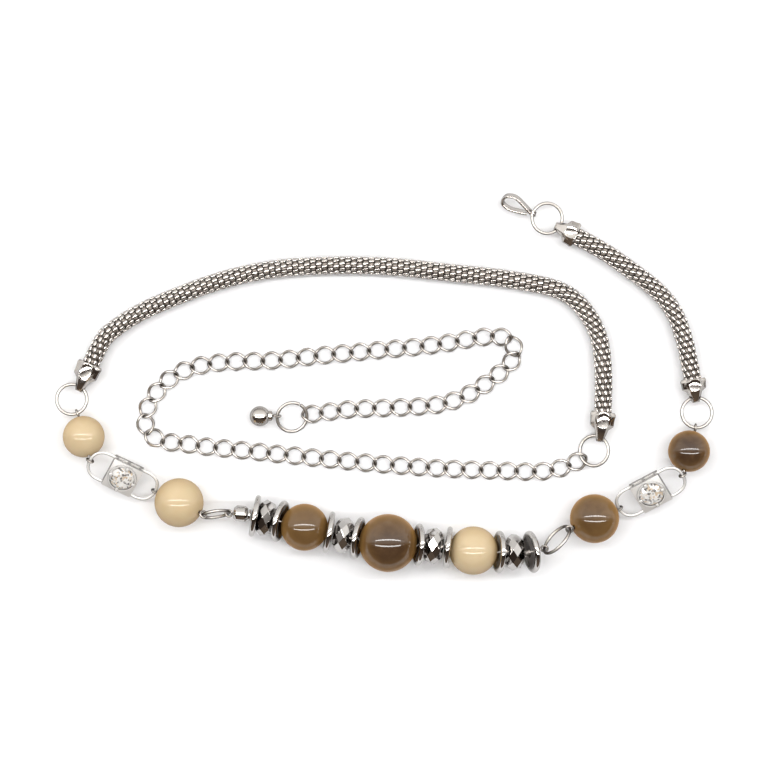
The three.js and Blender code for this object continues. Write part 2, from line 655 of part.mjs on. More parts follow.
// Everything on the string, from its right-hand eye: how far each piece's middle lies from
// the one before, the height of its middle, and how it leans.
const discBack = CUP_DISC_THICKNESS / 2 + CUP_DISC_DEPTH;
const eyeToDisc = EYE_REACH + GAP + discBack + STRING_SLACK;
const rondelleToDisc = RONDELLE_WIDTH / 2 + RONDELLE_PLAY + discBack;
const discHeight = CUP_DISC_DIAMETER / 2 + GAP;
const beadToDisc = (bead) => bead / 2 + BEAD_TO_DISC;
const disc = (name, step, hollow, lean) => ({ name, step, make: () => cupDisc(hollow), lean });
const lozenges = (name, step, turn) => ({ name, step, make: rondelle, bore: RONDELLE_WIDTH, turn });
const ball = (name, bead, finish) => ({ name, step: beadToDisc(bead), bead, finish });
const THREADED = [
  disc("cup_disc_8", eyeToDisc, 1, -14),
  lozenges("rondelle_4", RONDELLE_WIDTH / 2 + LAST_DISC_TO_RONDELLE, 12),
  disc("cup_disc_7", rondelleToDisc, 1, -9),
  ball("bead_ivory_centre", CENTRE_IVORY_BEAD, ivory),
  disc("cup_disc_6", beadToDisc(CENTRE_IVORY_BEAD), -1, 5),
  lozenges("rondelle_3", rondelleToDisc, 31),
  disc("cup_disc_5", rondelleToDisc, 1, -7),
  ball("bead_big_brown", BIG_BEAD, smokyBrown),
  disc("cup_disc_4", beadToDisc(BIG_BEAD), -1, 7),
  lozenges("rondelle_2", rondelleToDisc, 20),
  disc("cup_disc_3", rondelleToDisc, 1, -6),
  ball("bead_brown_centre", CENTRE_BROWN_BEAD, smokyBrown),
  disc("cup_disc_2", beadToDisc(CENTRE_BROWN_BEAD), -1, 12),
  lozenges("rondelle_1", rondelleToDisc, 5),
  disc("cup_disc_1", RONDELLE_WIDTH / 2 + FIRST_DISC_TO_RONDELLE, -1, -3),
  {
    name: "spacer_ring",
    step: discBack + GAP + SPACER_RING_WIDTH / 2,
    make: () => sleeve(SPACER_RING_WIDTH, SPACER_RING_DIAMETER, SPACER_RING_DIAMETER),
  },
  {
    name: "barrel_bead",
    step: SPACER_RING_WIDTH / 2 + GAP + BARREL_LENGTH / 2,
    make: () => sleeve(BARREL_LENGTH, BARREL_DIAMETER, BARREL_DIAMETER * 0.7),
    bore: BARREL_LENGTH,
  },
];
const LAST_STEP = BARREL_LENGTH / 2 + GAP + EYE_REACH;

// The wire's height over the table follows the beads that it runs through.
function stringHeights() {
  let distance = 0;
  const known = [[0, discHeight]];
  const stations = THREADED.map((piece) => {
    distance += piece.step;
    if (piece.bead) known.push([distance, piece.bead / 2]);
    return distance;
  });
  known.push([distance + LAST_STEP, discHeight]);
  const heightAt = (where) => {
    const k = known.findIndex(([far]) => far >= where);
    const [[x0, z0], [x1, z1]] = [known[Math.max(k - 1, 0)], known[Math.max(k, 1)]];
    return Math.max(THREE.MathUtils.mapLinear(where, x0, x1, z0, z1), discHeight);
  };
  return stations.map(heightAt);
}

function strideAlongString() {
  const heights = stringHeights();
  const middles = THREADED.map((piece, i) => stride(piece.step, heights[i]));
  return { middles, end: stride(LAST_STEP, discHeight) };
}

function addString(start, startAxis, laid, endAxis) {
  const guide = [start, ...laid.middles, laid.end];
  const bores = [];
  THREADED.forEach((piece, i) => {
    const direction = towards(guide[i], guide[i + 2]);
    const half = piece.bead ? piece.bead / 2 : (piece.bore ?? 0) / 2;
    bores.push(...(half ? [-half, half] : [0]).map((x) => along(guide[i + 1], direction, x)));
    const lean = new THREE.Matrix4().makeRotationY(radians(piece.lean ?? 0));
    const turn = new THREE.Matrix4().makeRotationX(radians(piece.turn ?? 0));
    const placement = frameAt(guide[i + 1], direction).multiply(lean).multiply(turn);
    const geometry = piece.bead ? beadGeometry(piece.bead) : piece.make();
    addPiece(piece.name, geometry, piece.finish ? piece.finish() : mirrorSilver(), placement);
  });
  const [first, last] = [towards(start, guide[1]), towards(guide[guide.length - 2], laid.end)];
  const run = [
    eyeFoot(start, startAxis, first),
    along(start, first, EYE_REACH + GAP),
    ...bores,
    along(laid.end, last, -EYE_REACH),
    eyeFoot(laid.end, endAxis, last.clone().negate()),
  ];
  const wire = toSolid(sweep(run, roundSection(EYE_WIRE / 2, WIRE_SIDES), UP));
  const coilStart = along(laid.middles[0], first, CUP_DISC_THICKNESS / 2 + GAP);
  const coilEnd = along(coilStart, first, COIL_LENGTH);
  const coil = toSolid(sweep([coilStart, coilEnd], roundSection(COIL_DIAMETER / 2, BORE_SIDES), UP));
  const eyes = [eyeSolid(start, startAxis), eyeSolid(laid.end, endAxis)];
  addPiece("string_wire", toGeometry(join([wire, coil, ...eyes])), silver());
}

// One twisted link of the curb chain, along X. Neighbouring links lie square to each other
// where they hook together.
const LINK_HALF = (CHAIN_LINK_LENGTH - CHAIN_WIRE) / 2;
const CHAIN_PITCH = CHAIN_LINK_LENGTH - 2 * CHAIN_WIRE + CHAIN_WELD;
const CHAIN_RING_INSET = (RING_WIRE + CHAIN_WIRE) / 2 + GAP + CHAIN_RING_PLAY;
const CHAIN_FIRST = LINK_HALF - CHAIN_RING_INSET + CHAIN_PITCH / 2;
const CHAIN_HEIGHT = CHAIN_LINK_WIDTH * CHAIN_REST_SHARE + CHAIN_WIRE / 2;

function chainLinkPath(angle) {
  const halfWidth = (CHAIN_LINK_WIDTH - CHAIN_WIRE) / 2;
  const twist = radians(CHAIN_TWIST) * Math.cos(angle);
  const side = halfWidth * Math.sin(angle);
  return vec(LINK_HALF * Math.cos(angle), side * Math.cos(twist), side * Math.sin(twist));
}

function addChain(from) {
  const link = wireLoop(chainLinkPath, CHAIN_WIRE, LINK_STEPS);
  const crossings = [];
  crossings.push(stride(CHAIN_FIRST, CHAIN_HEIGHT));
  for (let i = 1; i < CHAIN_LINKS - 1; i++) {
    crossings.push(stride(CHAIN_PITCH, CHAIN_HEIGHT));
  }
  const end = stride(CHAIN_FIRST, CHAIN_HEIGHT);
  const links = [];
  for (let i = 0; i < CHAIN_LINKS; i++) {
    const before = i === 0 ? from : crossings[i - 1];
    const after = i === CHAIN_LINKS - 1 ? end : crossings[i];
    const direction = towards(before, after);
    const [anchor, side] = i === 0 ? [after, -1] : [before, 1];
    const middle = along(anchor, direction, (side * CHAIN_PITCH) / 2);
    links.push(toSolid(link, frameAt(middle, direction)));
  }
  addPiece("curb_chain", toGeometry(join(links)), silver());
  return end;
}

// The ball, its collar and its eye.
function addBall(eyeCentre, eyeAxis, direction) {
  const middle = along(eyeCentre, direction, BALL_TO_EYE);
  const ball = toSolid(new THREE.SphereGeometry(BALL_DIAMETER / 2, BEAD_SIDES, BEAD_BANDS),
    frameOnAxis(middle, UP).multiply(TURN_UP));
  const collarStart = along(middle, direction, -BALL_DIAMETER / 2 - COLLAR_LENGTH);
  const collar = straightWire(collarStart, middle, COLLAR_DIAMETER);
  const stem = straightWire(along(eyeCentre, direction, EYE_RADIUS), middle, EYE_WIRE);
  addPiece("ball_end", toGeometry(join([ball, collar, stem, eyeSolid(eyeCentre, eyeAxis)])), silver());
}

// The belt, piece by piece from the hook.
const medium = MEDIUM_BEAD / 2;
const small = SMALL_BEAD / 2;
const smallRise = (pinLength(SMALL_BEAD) / 2) * Math.sin(radians(SMALL_PIN_TILT));
const mediumRise = (pinLength(MEDIUM_BEAD) / 2) * Math.sin(radians(MEDIUM_PIN_TILT));

walk.height = HOOK_HEIGHT;
const hookNose = vec(walk.at.x, walk.at.y, HOOK_HEIGHT);
const hookEye = stride(HOOK_LENGTH, HOOK_HEIGHT);
const firstCapTip = stride(ringChord(RING_DIAMETER, 0.985), CAP_HEIGHT / 2);
const ring1 = ringBetween("jump_ring_1", hookEye, firstCapTip, RING_DIAMETER, 0, 1);
addHook(hookNose, hookEye, ring1.startAxis);

const ring2 = addBandWithCaps(
  { capIn: "end_cap_1", tube: "mesh_tube_short", capOut: "end_cap_2" },
  { point: firstCapTip, axis: ring1.endAxis },
  TUBE_SHORT_LENGTH,
  CAP_SHORT_LENGTH,
  (tip) => {
    const far = stride(ringChord(RING_DIAMETER, 0.995), small - smallRise);
    return { ...ringBetween("jump_ring_2", tip, far, RING_DIAMETER, 0, 1), far };
  },
);

const pin1End = stride(pinLength(SMALL_BEAD), small + smallRise);
const link1End = stride(LINK_PITCH, medium - mediumRise);
const link1Across = linkAcross(pin1End, link1End, -LINK_ROLL);
addPinnedBead("bead_small_brown", "eye_pin_1", ring2.far, pin1End, ring2.endAxis, link1Across,
  SMALL_BEAD, smokyBrown());
addCrystalLink(1, pin1End, link1End, -LINK_ROLL);

const pin2End = stride(pinLength(MEDIUM_BEAD), medium + mediumRise);
const stringStart = stride(ringChord(STRING_RING_RIGHT_DIAMETER, 0.995), discHeight);
const ringRight = ringBetween("string_ring_right", pin2End, stringStart, STRING_RING_RIGHT_DIAMETER,
  RING_ON_EDGE_ROLL, 1);
addPinnedBead("bead_medium_brown", "eye_pin_2", link1End, pin2End, link1Across, ringRight.startAxis,
  MEDIUM_BEAD, smokyBrown());

const laid = strideAlongString();
const pin3Start = stride(ringChord(STRING_RING_LEFT_DIAMETER, 0.995), medium + mediumRise);
const ringLeft = ringBetween("string_ring_left", laid.end, pin3Start, STRING_RING_LEFT_DIAMETER,
  -RING_ON_EDGE_ROLL, 1);
addString(stringStart, ringRight.endAxis, laid, ringLeft.startAxis);

const pin3End = stride(pinLength(MEDIUM_BEAD), medium - mediumRise);
const link2End = stride(LINK_PITCH, small + smallRise);
const link2Across = linkAcross(pin3End, link2End, -LINK_ROLL);
addPinnedBead("bead_medium_ivory", "eye_pin_3", pin3Start, pin3End, ringLeft.endAxis, link2Across,
  MEDIUM_BEAD, ivory());
addCrystalLink(2, pin3End, link2End, -LINK_ROLL);

const pin4End = stride(pinLength(SMALL_BEAD), small - smallRise);
const thirdCapTip = stride(ringChord(RING_DIAMETER, 0.88), CAP_HEIGHT / 2);
const ring3 = ringBetween("jump_ring_3", pin4End, thirdCapTip, RING_DIAMETER, 0, 1);
addPinnedBead("bead_small_ivory", "eye_pin_4", link2End, pin4End, link2Across, ring3.startAxis,
  SMALL_BEAD, ivory());

const ring4 = addBandWithCaps(
  { capIn: "end_cap_3", tube: "mesh_tube_long", capOut: "end_cap_4" },
  { point: thirdCapTip, axis: ring3.endAxis },
  TUBE_LONG_LENGTH,
  CAP_LONG_LENGTH,
  (tip) => {
    const far = stride(ringChord(RING_DIAMETER, 0.96), CHAIN_HEIGHT);
    return { ...ringBetween("jump_ring_4", tip, far, RING_DIAMETER, CHAIN_RING_ROLL, 1), far };
  },
);

const chainEnd = addChain(ring4.far);
const ballEye = stride(ringChord(RING_DIAMETER, 0.99), BALL_DIAMETER / 2);
const ring5 = ringBetween("jump_ring_5", chainEnd, ballEye, RING_DIAMETER, -BALL_RING_ROLL, 1);
const ballDirection = towards(chainEnd, ballEye).setZ(0).normalize();
addBall(ballEye, ring5.endAxis, ballDirection);

// The belt stands on z = 0, over the middle of the rectangle that it covers.
belt.updateMatrixWorld(true);
const extent = new THREE.Box3().setFromObject(belt, true);
const middle = extent.getCenter(vec(0));
belt.position.set(-middle.x, -middle.y, -extent.min.z);

export default belt;
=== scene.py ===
# %% [markdown]
# # A beaded chain belt in Blender
# The belt lies coiled on a pale table, seen from straight above: a hook, two woven metal tubes, round beads,
# two crystal links, a string of beads, discs and rondelles, and a long curb chain with a ball.
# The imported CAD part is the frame. It says where everything is, and each faceted CAD piece gets a smooth
# piece here in the same place.

# %% Load the frame
from math import asin, atan2, cos, pi, radians, sin, sqrt

import bmesh
import bpy
import numpy as np
from mathutils import Matrix, Quaternion, Vector


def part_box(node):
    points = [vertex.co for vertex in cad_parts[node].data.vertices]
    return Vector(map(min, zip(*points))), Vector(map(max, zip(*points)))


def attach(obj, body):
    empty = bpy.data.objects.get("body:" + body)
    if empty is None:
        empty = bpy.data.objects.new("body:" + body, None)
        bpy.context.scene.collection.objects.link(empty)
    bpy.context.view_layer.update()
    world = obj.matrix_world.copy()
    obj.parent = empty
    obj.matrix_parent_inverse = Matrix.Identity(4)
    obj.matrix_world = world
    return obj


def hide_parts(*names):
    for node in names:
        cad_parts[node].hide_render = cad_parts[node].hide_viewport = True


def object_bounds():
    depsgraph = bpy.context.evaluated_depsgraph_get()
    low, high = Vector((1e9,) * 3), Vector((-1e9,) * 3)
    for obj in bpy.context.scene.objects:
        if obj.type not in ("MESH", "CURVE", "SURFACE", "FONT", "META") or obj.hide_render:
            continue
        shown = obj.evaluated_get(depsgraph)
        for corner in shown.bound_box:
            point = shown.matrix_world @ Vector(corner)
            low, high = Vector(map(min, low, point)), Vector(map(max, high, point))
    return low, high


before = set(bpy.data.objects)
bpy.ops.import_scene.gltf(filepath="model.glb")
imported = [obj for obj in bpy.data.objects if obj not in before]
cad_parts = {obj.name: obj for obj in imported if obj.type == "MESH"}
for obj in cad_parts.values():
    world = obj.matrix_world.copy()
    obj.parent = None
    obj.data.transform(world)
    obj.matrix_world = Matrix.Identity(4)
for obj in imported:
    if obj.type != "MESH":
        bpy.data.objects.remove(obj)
cad_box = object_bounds()
print("CAD nodes:", len(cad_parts))

# %% [markdown]
# ## Sizes
# The sizes are the CAD part's own, in metres, so that every smooth piece fits the solid it stands for.

# %% Sizes in metres
GAP = 0.0003
HOOK_LENGTH = 0.0142
HOOK_BAND_WIDTH = 0.0028
HOOK_BAND_THICKNESS = 0.0012
HOOK_LOOP_HALF_WIDTH = 0.0042
HOOK_ROLL = 45
HOOK_HEIGHT = 0.0047
HOOK_MOUTH = 0.0034
RING_DIAMETER = 0.0137
RING_WIRE = 0.0013
RING_ON_EDGE_ROLL = 72
STRING_RING_RIGHT_DIAMETER = 0.0154
STRING_RING_LEFT_DIAMETER = 0.0126
EYE_WIRE = 0.00085
EYE_BEAD_PLAY = 0.0002
TUBE_DIAMETER = 0.0068
TUBE_SHORT_LENGTH = 0.0802
TUBE_LONG_LENGTH = 0.2636
TUBE_SEAT = 0.0024
TUBE_STEP = 0.0066
CAP_SHORT_LENGTH = 0.0078
CAP_LONG_LENGTH = 0.0104
CAP_SHOULDER_WIDTH = 0.0112
CAP_MOUTH_WIDTH = 0.0092
CAP_HEIGHT = 0.0088
CAP_TIP_WALL = 0.0008
CAP_TIP_BORE = 0.0024
SMALL_BEAD = 0.017
MEDIUM_BEAD = 0.020
BIG_BEAD = 0.0236
CENTRE_BROWN_BEAD = 0.0192
CENTRE_IVORY_BEAD = 0.0198
SMALL_PIN_TILT = 17
MEDIUM_PIN_TILT = 21
CUP_DISC_DIAMETER = 0.0174
CUP_DISC_THICKNESS = 0.0007
CUP_DISC_DEPTH = 0.0012
CUP_DISC_RIM = 0.0026
RONDELLE_WIDTH = 0.0078
RONDELLE_SIDES = 8
BARREL_LENGTH = 0.0058
BARREL_DIAMETER = 0.0066
SPACER_RING_WIDTH = 0.0008
SPACER_RING_DIAMETER = 0.0046
BEAD_TO_DISC = 0.00065
RONDELLE_PLAY = 0.0006
FIRST_DISC_TO_RONDELLE = 0.0006
LAST_DISC_TO_RONDELLE = 0.0033
STRING_SLACK = 0.0018
COIL_DIAMETER = 0.003
COIL_LENGTH = 0.002
LINK_LENGTH = 0.0308
LINK_FRAME = 0.0128
LINK_HEIGHT = 0.0048
LINK_WALL = 0.0011
LINK_WIRE = 0.0013
LINK_SLOT_LENGTH = 0.0042
LINK_SLOT_HEIGHT = 0.0019
LINK_ROLL = 20
STONE_DIAMETER = 0.0098
STONE_CROWN = 0.0015
STONE_PAVILION = 0.003
STONE_GIRDLE = 0.0003
STONE_TABLE_SHARE = 0.56
BEZEL_WALL = 0.0006
BEZEL_RISE = 0.0006
BEZEL_FOOT = 0.0004
PRONG_WIDTH = 0.0013
PRONG_THICKNESS = 0.0007
PRONG_OVERLAP = 0.0007
CHAIN_LINKS = 62
CHAIN_LINK_LENGTH = 0.00948
CHAIN_LINK_WIDTH = 0.0077
CHAIN_WIRE = 0.0011
CHAIN_TWIST = 45
CHAIN_WELD = 0.00005
CHAIN_REST_SHARE = 0.17
CHAIN_RING_PLAY = 0.00035
CHAIN_RING_ROLL = 22
BALL_RING_ROLL = 18
BALL_DIAMETER = 0.0084
BALL_TO_EYE = 0.0072

WIRE_BORE = EYE_WIRE + 2 * GAP + 0.0005
EYE_RADIUS = RING_WIRE / 2 + GAP + EYE_WIRE / 2
EYE_REACH = EYE_RADIUS + EYE_WIRE / 2
EYE_TO_BEAD = EYE_REACH + EYE_BEAD_PLAY
LINK_PITCH = LINK_LENGTH - LINK_WIRE
CHAIN_HALF = (CHAIN_LINK_LENGTH - CHAIN_WIRE) / 2
CHAIN_PITCH = CHAIN_LINK_LENGTH - 2 * CHAIN_WIRE + CHAIN_WELD
CHAIN_HEIGHT = CHAIN_LINK_WIDTH * CHAIN_REST_SHARE + CHAIN_WIRE / 2

# %% [markdown]
# ## The way the belt lies
# The route is the CAD part's own list of points, from the hook to the ball. Every rigid piece is a straight
# stride between two points of it, so the same walk gives the same places here. Past its last point the
# route goes on in a small arc.

# %% Route points in metres
ROUTE = [
    (0.0481, 0.0760), (0.0544, 0.0729), (0.0611, 0.0695), (0.0720, 0.0637), (0.0790, 0.0604),
    (0.0891, 0.0547), (0.1011, 0.0465), (0.1116, 0.0383), (0.1184, 0.0301), (0.1231, 0.0178),
    (0.1257, 0.0055), (0.1266, 0.0014), (0.1276, -0.0060), (0.1275, -0.0182), (0.1214, -0.0374),
    (0.0961, -0.0515), (0.0753, -0.0592), (0.0652, -0.0677), (0.0601, -0.0690), (0.0460, -0.0690),
    (0.0354, -0.0684), (0.0187, -0.0663), (0.0004, -0.0651), (-0.0175, -0.0620), (-0.0326, -0.0590),
    (-0.0491, -0.0551), (-0.0612, -0.0532), (-0.0727, -0.0536), (-0.0938, -0.0447), (-0.1199, -0.0320),
    (-0.1261, -0.0140), (-0.1258, -0.0034), (-0.1215, 0.0067), (-0.1190, 0.0145), (-0.1127, 0.0210),
    (-0.1022, 0.0282), (-0.0838, 0.0364), (-0.0653, 0.0428), (-0.0469, 0.0467), (-0.0223, 0.0484),
    (0.0023, 0.0479), (0.0269, 0.0454), (0.0515, 0.0426), (0.0704, 0.0387), (0.0761, 0.0358),
    (0.0806, 0.0317), (0.0862, 0.0235), (0.0888, 0.0153), (0.0897, 0.0055), (0.0898, -0.0120),
    (0.0886, -0.0220), (0.0811, -0.0314), (0.0719, -0.0354), (0.0645, -0.0366), (0.0492, -0.0362),
    (0.0264, -0.0354), (0.0040, -0.0339), (-0.0184, -0.0319), (-0.0408, -0.0296), (-0.0630, -0.0273),
    (-0.0777, -0.0258), (-0.0848, -0.0246), (-0.0916, -0.0244), (-0.0975, -0.0216), (-0.0995, -0.0159),
    (-0.0983, -0.0101), (-0.0948, -0.0046), (-0.0905, 0.0007), (-0.0845, 0.0046), (-0.0777, 0.0070),
    (-0.0633, 0.0089), (-0.0483, 0.0091), (-0.0260, 0.0114), (-0.0034, 0.0135), (0.0196, 0.0156),
    (0.0345, 0.0180), (0.0420, 0.0193), (0.0495, 0.0191), (0.0558, 0.0162), (0.0536, 0.0104),
    (0.0484, 0.0046), (0.0421, 0.0002), (0.0360, -0.0041), (0.0291, -0.0072), (0.0216, -0.0090),
    (0.0064, -0.0101), (-0.0160, -0.0109), (-0.0298, -0.0129), (-0.0327, -0.0130), (-0.0444, -0.0134),
    (-0.0506, -0.0142),
]
SPARE_STEPS = 60
SPARE_STEP = 0.001
SPARE_TURN_RADIUS = 0.045

# %% The walk along the route
UP = Vector((0, 0, 1))


def along(point, direction, distance):
    return point + direction * distance


def towards(start, end):
    return (end - start).normalized()


def curve_through(points, steps):
    """A centripetal Catmull-Rom curve through the points, with some steps in each span."""
    ends = [2 * points[0] - points[1], *points, 2 * points[-1] - points[-2]]
    path = []
    for p0, p1, p2, p3 in zip(ends, ends[1:], ends[2:], ends[3:]):
        d0, d1, d2 = [sqrt((b - a).length) for a, b in ((p0, p1), (p1, p2), (p2, p3))]
        t1 = ((p1 - p0) / d0 - (p2 - p0) / (d0 + d1) + (p2 - p1) / d1) * d1
        t2 = ((p2 - p1) / d1 - (p3 - p1) / (d1 + d2) + (p3 - p2) / d2) * d1
        for t in [i / steps for i in range(steps)]:
            bend = (3 * (p2 - p1) - 2 * t1 - t2) * t**2 + (2 * (p1 - p2) + t1 + t2) * t**3
            path.append(p1 + t1 * t + bend)
    return [*path, points[-1]]


def evenly(path, step):
    """The same path with its points at even distances of about one step."""
    spots = np.array([list(point) for point in path])
    reach = np.concatenate([[0], np.cumsum(np.linalg.norm(np.diff(spots, axis=0), axis=1))])
    marks = np.linspace(0, reach[-1], max(2, round(reach[-1] / step) + 1))
    return [Vector(p) for p in np.stack([np.interp(marks, reach, spots[:, k]) for k in range(3)], 1)]


class Walk:
    """Strides over level ground between points of the route, each at its own height."""

    def __init__(self, route, height):
        self.trail = curve_through([Vector((x, y, 0)) for x, y in route], 40)
        heading = towards(self.trail[-9], self.trail[-1])
        for _ in range(SPARE_STEPS):
            heading.rotate(Quaternion(UP, -SPARE_STEP / SPARE_TURN_RADIUS))
            self.trail.append(along(self.trail[-1], heading, SPARE_STEP))
        self.index = 0
        self.at = self.trail[0].copy()
        self.height = height

    def stride(self, length, height):
        level = sqrt(max(length**2 - (height - self.height) ** 2, 0))
        far = self.index + 1
        while far < len(self.trail) - 1 and (self.trail[far] - self.at).length < level:
            far += 1
        near, beyond = [(self.trail[i] - self.at).length for i in (far - 1, far)]
        share = (level - near) / (beyond - near) if near < level else 1
        spot = self.trail[far - 1].lerp(self.trail[far], share)
        self.index = max(far - 1, self.index)
        self.at = spot.copy()
        self.height = height
        return Vector((spot.x, spot.y, height))


def frame_at(origin, direction, up=UP, roll=0):
    """A place whose X runs along a direction and whose Z leans towards up, rolled about X."""
    x = direction.normalized()
    y = up.cross(x).normalized()
    turn = Matrix((x, y, x.cross(y))).transposed().to_4x4()
    return Matrix.Translation(origin) @ turn @ Matrix.Rotation(radians(roll), 4, "X")


def frame_on_axis(origin, axis):
    """A place whose Z is a given axis."""
    return Matrix.Translation(origin) @ UP.rotation_difference(axis).to_matrix().to_4x4()


# Each ring's diameter, the share of its width between the things it joins, and its roll in degrees.
RINGS = {
    "jump_ring_1": (RING_DIAMETER, 0.985, 0),
    "jump_ring_2": (RING_DIAMETER, 0.995, 0),
    "string_ring_right": (STRING_RING_RIGHT_DIAMETER, 0.995, RING_ON_EDGE_ROLL),
    "string_ring_left": (STRING_RING_LEFT_DIAMETER, 0.995, -RING_ON_EDGE_ROLL),
    "jump_ring_3": (RING_DIAMETER, 0.88, 0),
    "jump_ring_4": (RING_DIAMETER, 0.96, CHAIN_RING_ROLL),
    "jump_ring_5": (RING_DIAMETER, 0.99, -BALL_RING_ROLL),
}


def ring_between(name, start, end):
    """The place of a ring through two points, and the way its wire runs at each."""
    diameter, _, roll = RINGS[name]
    radius = (diameter - RING_WIRE) / 2
    chord = towards(start, end)
    lean = Quaternion(chord, radians(roll)) @ UP.cross(chord).normalized()
    offset = sqrt(max(radius**2 - ((end - start).length / 2) ** 2, 0))
    centre = along((start + end) / 2, lean, offset)
    axis = chord.cross(lean).normalized()
    wire_way = [axis.cross(point - centre).normalized() for point in (start, end)]
    return {"place": frame_on_axis(centre, axis), "diameter": diameter, "ways": wire_way}


def ring_chord(name):
    diameter, share, _ = RINGS[name]
    return (diameter - RING_WIRE) * share


def pin_length(bead):
    return bead + 2 * EYE_TO_BEAD


def link_across(start, end):
    """The way the wire of a crystal link's end loops runs."""
    return frame_at(start, end - start, UP, -LINK_ROLL).to_3x3() @ Vector((0, 1, 0))


# %% [markdown]
# The string in the middle carries a fixed order of pieces. Each row says how far its middle lies from the
# one before, how it leans, and how it is turned about the string.

# %% What is on the string
DISC_BACK = CUP_DISC_THICKNESS / 2 + CUP_DISC_DEPTH
DISC_HEIGHT = CUP_DISC_DIAMETER / 2 + GAP
RONDELLE_TO_DISC = RONDELLE_WIDTH / 2 + RONDELLE_PLAY + DISC_BACK
EYE_TO_DISC = EYE_REACH + GAP + DISC_BACK + STRING_SLACK


def disc(name, step, hollow, lean):
    return {"name": name, "kind": "disc", "step": step, "hollow": hollow, "lean": lean}


def lozenges(name, step, turn):
    return {"name": name, "kind": "rondelle", "step": step, "bore": RONDELLE_WIDTH, "turn": turn}


def threaded_bead(name, size, finish):
    return {"name": name, "kind": "bead", "step": bead_to_disc(size), "bore": size, "size": size,
            "finish": finish}


def bead_to_disc(size):
    return size / 2 + BEAD_TO_DISC


THREADED = [
    disc("cup_disc_8", EYE_TO_DISC, 1, -14),
    lozenges("rondelle_4", RONDELLE_WIDTH / 2 + LAST_DISC_TO_RONDELLE, 12),
    disc("cup_disc_7", RONDELLE_TO_DISC, 1, -9),
    threaded_bead("bead_ivory_centre", CENTRE_IVORY_BEAD, "ivory_bead"),
    disc("cup_disc_6", bead_to_disc(CENTRE_IVORY_BEAD), -1, 5),
    lozenges("rondelle_3", RONDELLE_TO_DISC, 31),
    disc("cup_disc_5", RONDELLE_TO_DISC, 1, -7),
    threaded_bead("bead_big_brown", BIG_BEAD, "smoky_brown_bead"),
    disc("cup_disc_4", bead_to_disc(BIG_BEAD), -1, 7),
    lozenges("rondelle_2", RONDELLE_TO_DISC, 20),
    disc("cup_disc_3", RONDELLE_TO_DISC, 1, -6),
    threaded_bead("bead_brown_centre", CENTRE_BROWN_BEAD, "smoky_brown_bead"),
    disc("cup_disc_2", bead_to_disc(CENTRE_BROWN_BEAD), -1, 12),
    lozenges("rondelle_1", RONDELLE_TO_DISC, 5),
    disc("cup_disc_1", RONDELLE_WIDTH / 2 + FIRST_DISC_TO_RONDELLE, -1, -3),
    {"name": "spacer_ring", "kind": "spacer", "step": DISC_BACK + GAP + SPACER_RING_WIDTH / 2},
    {"name": "barrel_bead", "kind": "barrel", "bore": BARREL_LENGTH,
     "step": SPACER_RING_WIDTH / 2 + GAP + BARREL_LENGTH / 2},
]
LAST_STEP = BARREL_LENGTH / 2 + GAP + EYE_REACH


def string_heights():
    """The string's height at each piece: it runs through the middles of the beads, which lie on the table."""
    distances = np.cumsum([piece["step"] for piece in THREADED])
    known = [(0, DISC_HEIGHT)]
    known += [(d, p["size"] / 2) for d, p in zip(distances, THREADED) if p["kind"] == "bead"]
    known.append((distances[-1] + LAST_STEP, DISC_HEIGHT))
    return np.maximum(np.interp(distances, *zip(*known)), DISC_HEIGHT)


# %% Walk the whole belt
walk = Walk(ROUTE, HOOK_HEIGHT)
small = SMALL_BEAD / 2
medium = MEDIUM_BEAD / 2
small_rise = pin_length(SMALL_BEAD) / 2 * sin(radians(SMALL_PIN_TILT))
medium_rise = pin_length(MEDIUM_BEAD) / 2 * sin(radians(MEDIUM_PIN_TILT))


def walk_tube(length, cap):
    """Walks on from a first cap's tip. Returns the points from mouth to mouth, and the far tip."""
    count = round(length / TUBE_STEP)
    soft = [walk.stride(cap, CAP_HEIGHT / 2)]
    for _ in range(count):
        soft.append(walk.stride(length / count, CAP_HEIGHT / 2))
    return soft, walk.stride(cap, CAP_HEIGHT / 2)


hook_nose = Vector((*walk.at.xy, HOOK_HEIGHT))
hook_eye = walk.stride(HOOK_LENGTH, HOOK_HEIGHT)
cap_tip_1 = walk.stride(ring_chord("jump_ring_1"), CAP_HEIGHT / 2)
tube_short, cap_tip_2 = walk_tube(TUBE_SHORT_LENGTH, CAP_SHORT_LENGTH)
pin_1_start = walk.stride(ring_chord("jump_ring_2"), small - small_rise)
pin_1_end = walk.stride(pin_length(SMALL_BEAD), small + small_rise)
pin_2_start = walk.stride(LINK_PITCH, medium - medium_rise)
pin_2_end = walk.stride(pin_length(MEDIUM_BEAD), medium + medium_rise)
string_start = walk.stride(ring_chord("string_ring_right"), DISC_HEIGHT)
middles = [walk.stride(p["step"], float(h)) for p, h in zip(THREADED, string_heights())]
string_end = walk.stride(LAST_STEP, DISC_HEIGHT)
pin_3_start = walk.stride(ring_chord("string_ring_left"), medium + medium_rise)
pin_3_end = walk.stride(pin_length(MEDIUM_BEAD), medium - medium_rise)
pin_4_start = walk.stride(LINK_PITCH, small + small_rise)
pin_4_end = walk.stride(pin_length(SMALL_BEAD), small - small_rise)
cap_tip_3 = walk.stride(ring_chord("jump_ring_3"), CAP_HEIGHT / 2)
tube_long, cap_tip_4 = walk_tube(TUBE_LONG_LENGTH, CAP_LONG_LENGTH)
chain_start = walk.stride(ring_chord("jump_ring_4"), CHAIN_HEIGHT)
chain_first = CHAIN_HALF - ((RING_WIRE + CHAIN_WIRE) / 2 + GAP + CHAIN_RING_PLAY) + CHAIN_PITCH / 2
crossings = [walk.stride(chain_first, CHAIN_HEIGHT)]
for _ in range(CHAIN_LINKS - 2):
    crossings.append(walk.stride(CHAIN_PITCH, CHAIN_HEIGHT))
chain_end = walk.stride(chain_first, CHAIN_HEIGHT)
